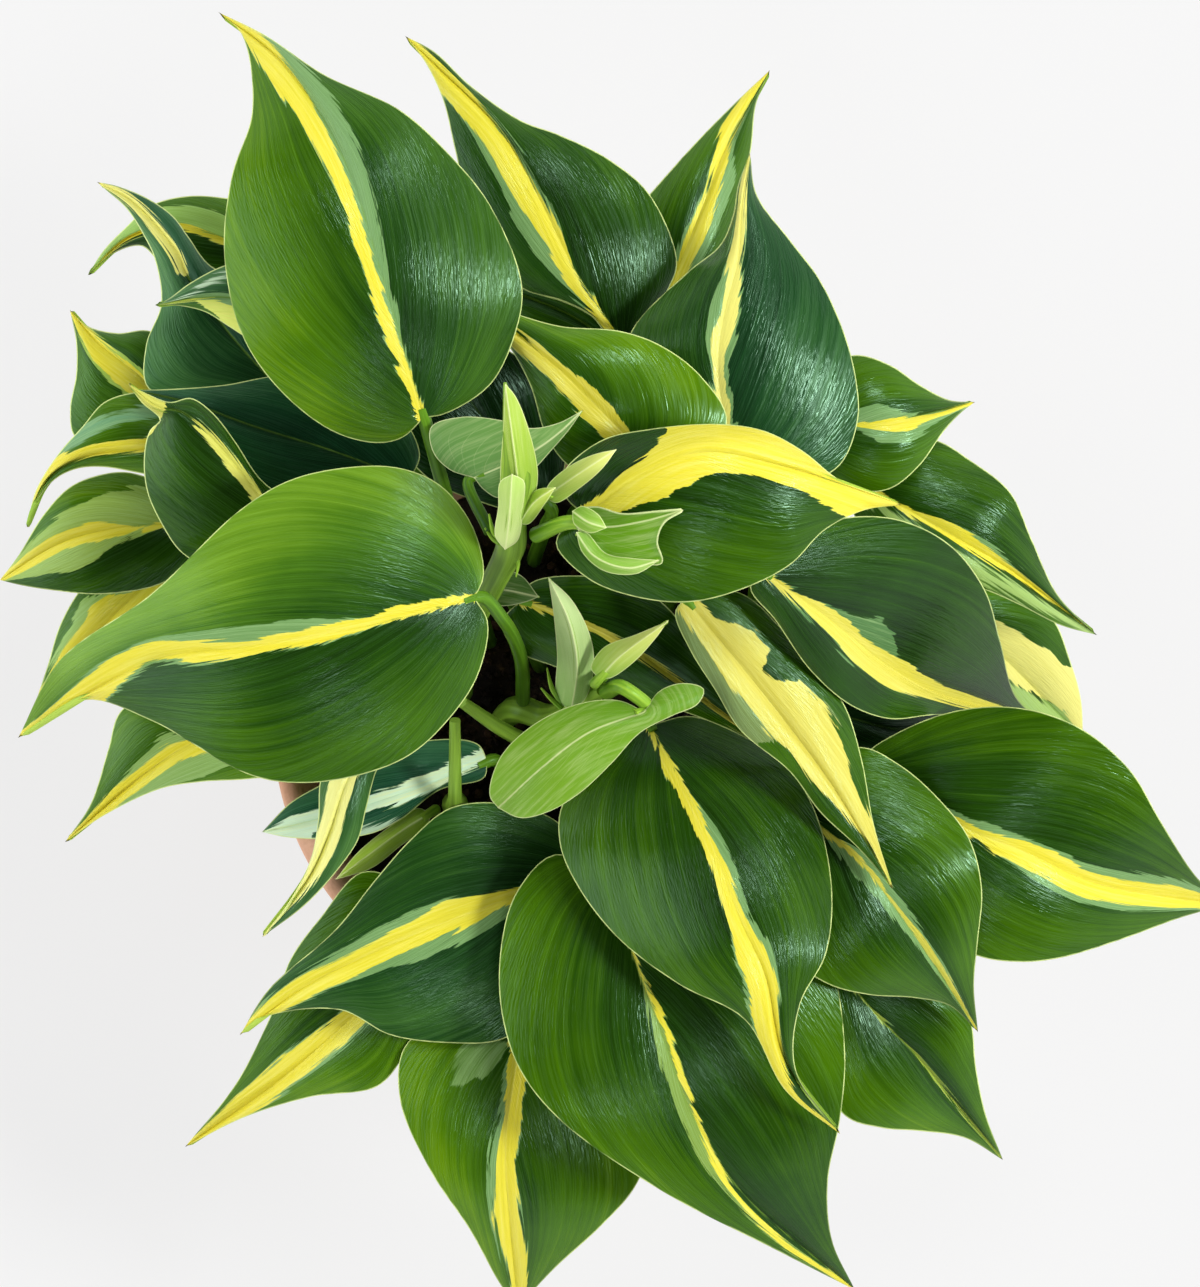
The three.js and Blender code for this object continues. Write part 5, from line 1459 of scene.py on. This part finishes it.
def floor(skin):
    """The sheet that the pot stands on."""
    mesh = bpy.data.meshes.new("floor")
    turns = ((-1, -1), (1, -1), (1, 1), (-1, 1))
    corners = [(x * FLOOR_REACH, y * FLOOR_REACH, 0) for x, y in turns]
    mesh.from_pydata(corners, [], [(0, 1, 2, 3)])
    mesh.materials.append(skin)
    shown("floor", mesh)


def soft_light(name, tilt, heading, size, power):
    """A round window, tilt degrees off the vertical above the foliage, towards a heading from +X."""
    light = bpy.data.lights.new(name, "AREA")
    light.shape = "DISK"
    light.size = size
    light.energy = power
    lamp = shown(name, light)
    tilt, heading = math.radians(tilt), math.radians(heading)
    way = Vector((math.sin(tilt) * math.cos(heading), math.sin(tilt) * math.sin(heading), math.cos(tilt)))
    lamp.location = Vector((0, 0, FOLIAGE_HEIGHT * MM)) + LIGHT_DISTANCE * way
    lamp.rotation_euler = (-way).to_track_quat("-Z", "Y").to_euler()


def studio_sky():
    """A white room, darker straight overhead, where the camera looks down from."""
    world = bpy.data.worlds.new("studio")
    world.use_nodes = True
    tree = Tree(world.node_tree)
    direction = tree.node("ShaderNodeTexCoord", {}, "Generated")
    height = tree.node("ShaderNodeSeparateXYZ", {"Vector": direction}, "Z")
    strength = tree.step(height, SKY_RING, SKY_TOP, SKY_BRIGHT, SKY_DARK)
    background = tree.nodes["Background"]
    background.inputs["Color"].default_value = (1, 1, 1, 1)
    tree.put(background.inputs["Strength"], strength)
    bpy.context.scene.world = world


def lighting():
    """The room's sky and windows, seen without a film look."""
    studio_sky()
    for light in LIGHTS:
        soft_light(*light)
    bpy.context.scene.view_settings.view_transform = "Standard"


def camera():
    """Straight above, as high and as wide as the plan pixels were read."""
    lens = bpy.data.cameras.new("overhead_camera")
    lens.sensor_fit = "HORIZONTAL"
    lens.sensor_width = SENSOR_WIDTH
    lens.lens = SENSOR_WIDTH * (EYE_HEIGHT - RIM_TOP) / (IMAGE_WIDTH * MM_PER_PIXEL)
    eye = shown("overhead_camera", lens)
    eye.location = (EYE_X * MM, EYE_Y * MM, EYE_HEIGHT * MM)
    bpy.context.scene.camera = eye


STEM_TREE = stem_tree()

skins = {
    "striped": striped_leaf_material(),
    "underside": underside_material(),
    "young": young_leaf_material(),
    "petiole": stem_material("petiole", PETIOLE_DARK, PETIOLE_LIGHT),
    "young_petiole": stem_material("young_petiole", LIME_DARK, LIME),
    "vine": stem_material("vine", VINE_DARK, VINE_LIGHT),
}
camera()
lighting()
floor(floor_material())
pot_piece(terracotta_material())
soil_piece(soil_material(), bark_material())
for vine in VINES:
    vine_piece(vine, skins)
for leaf in LEAVES:
    leaf_piece(leaf, skins)
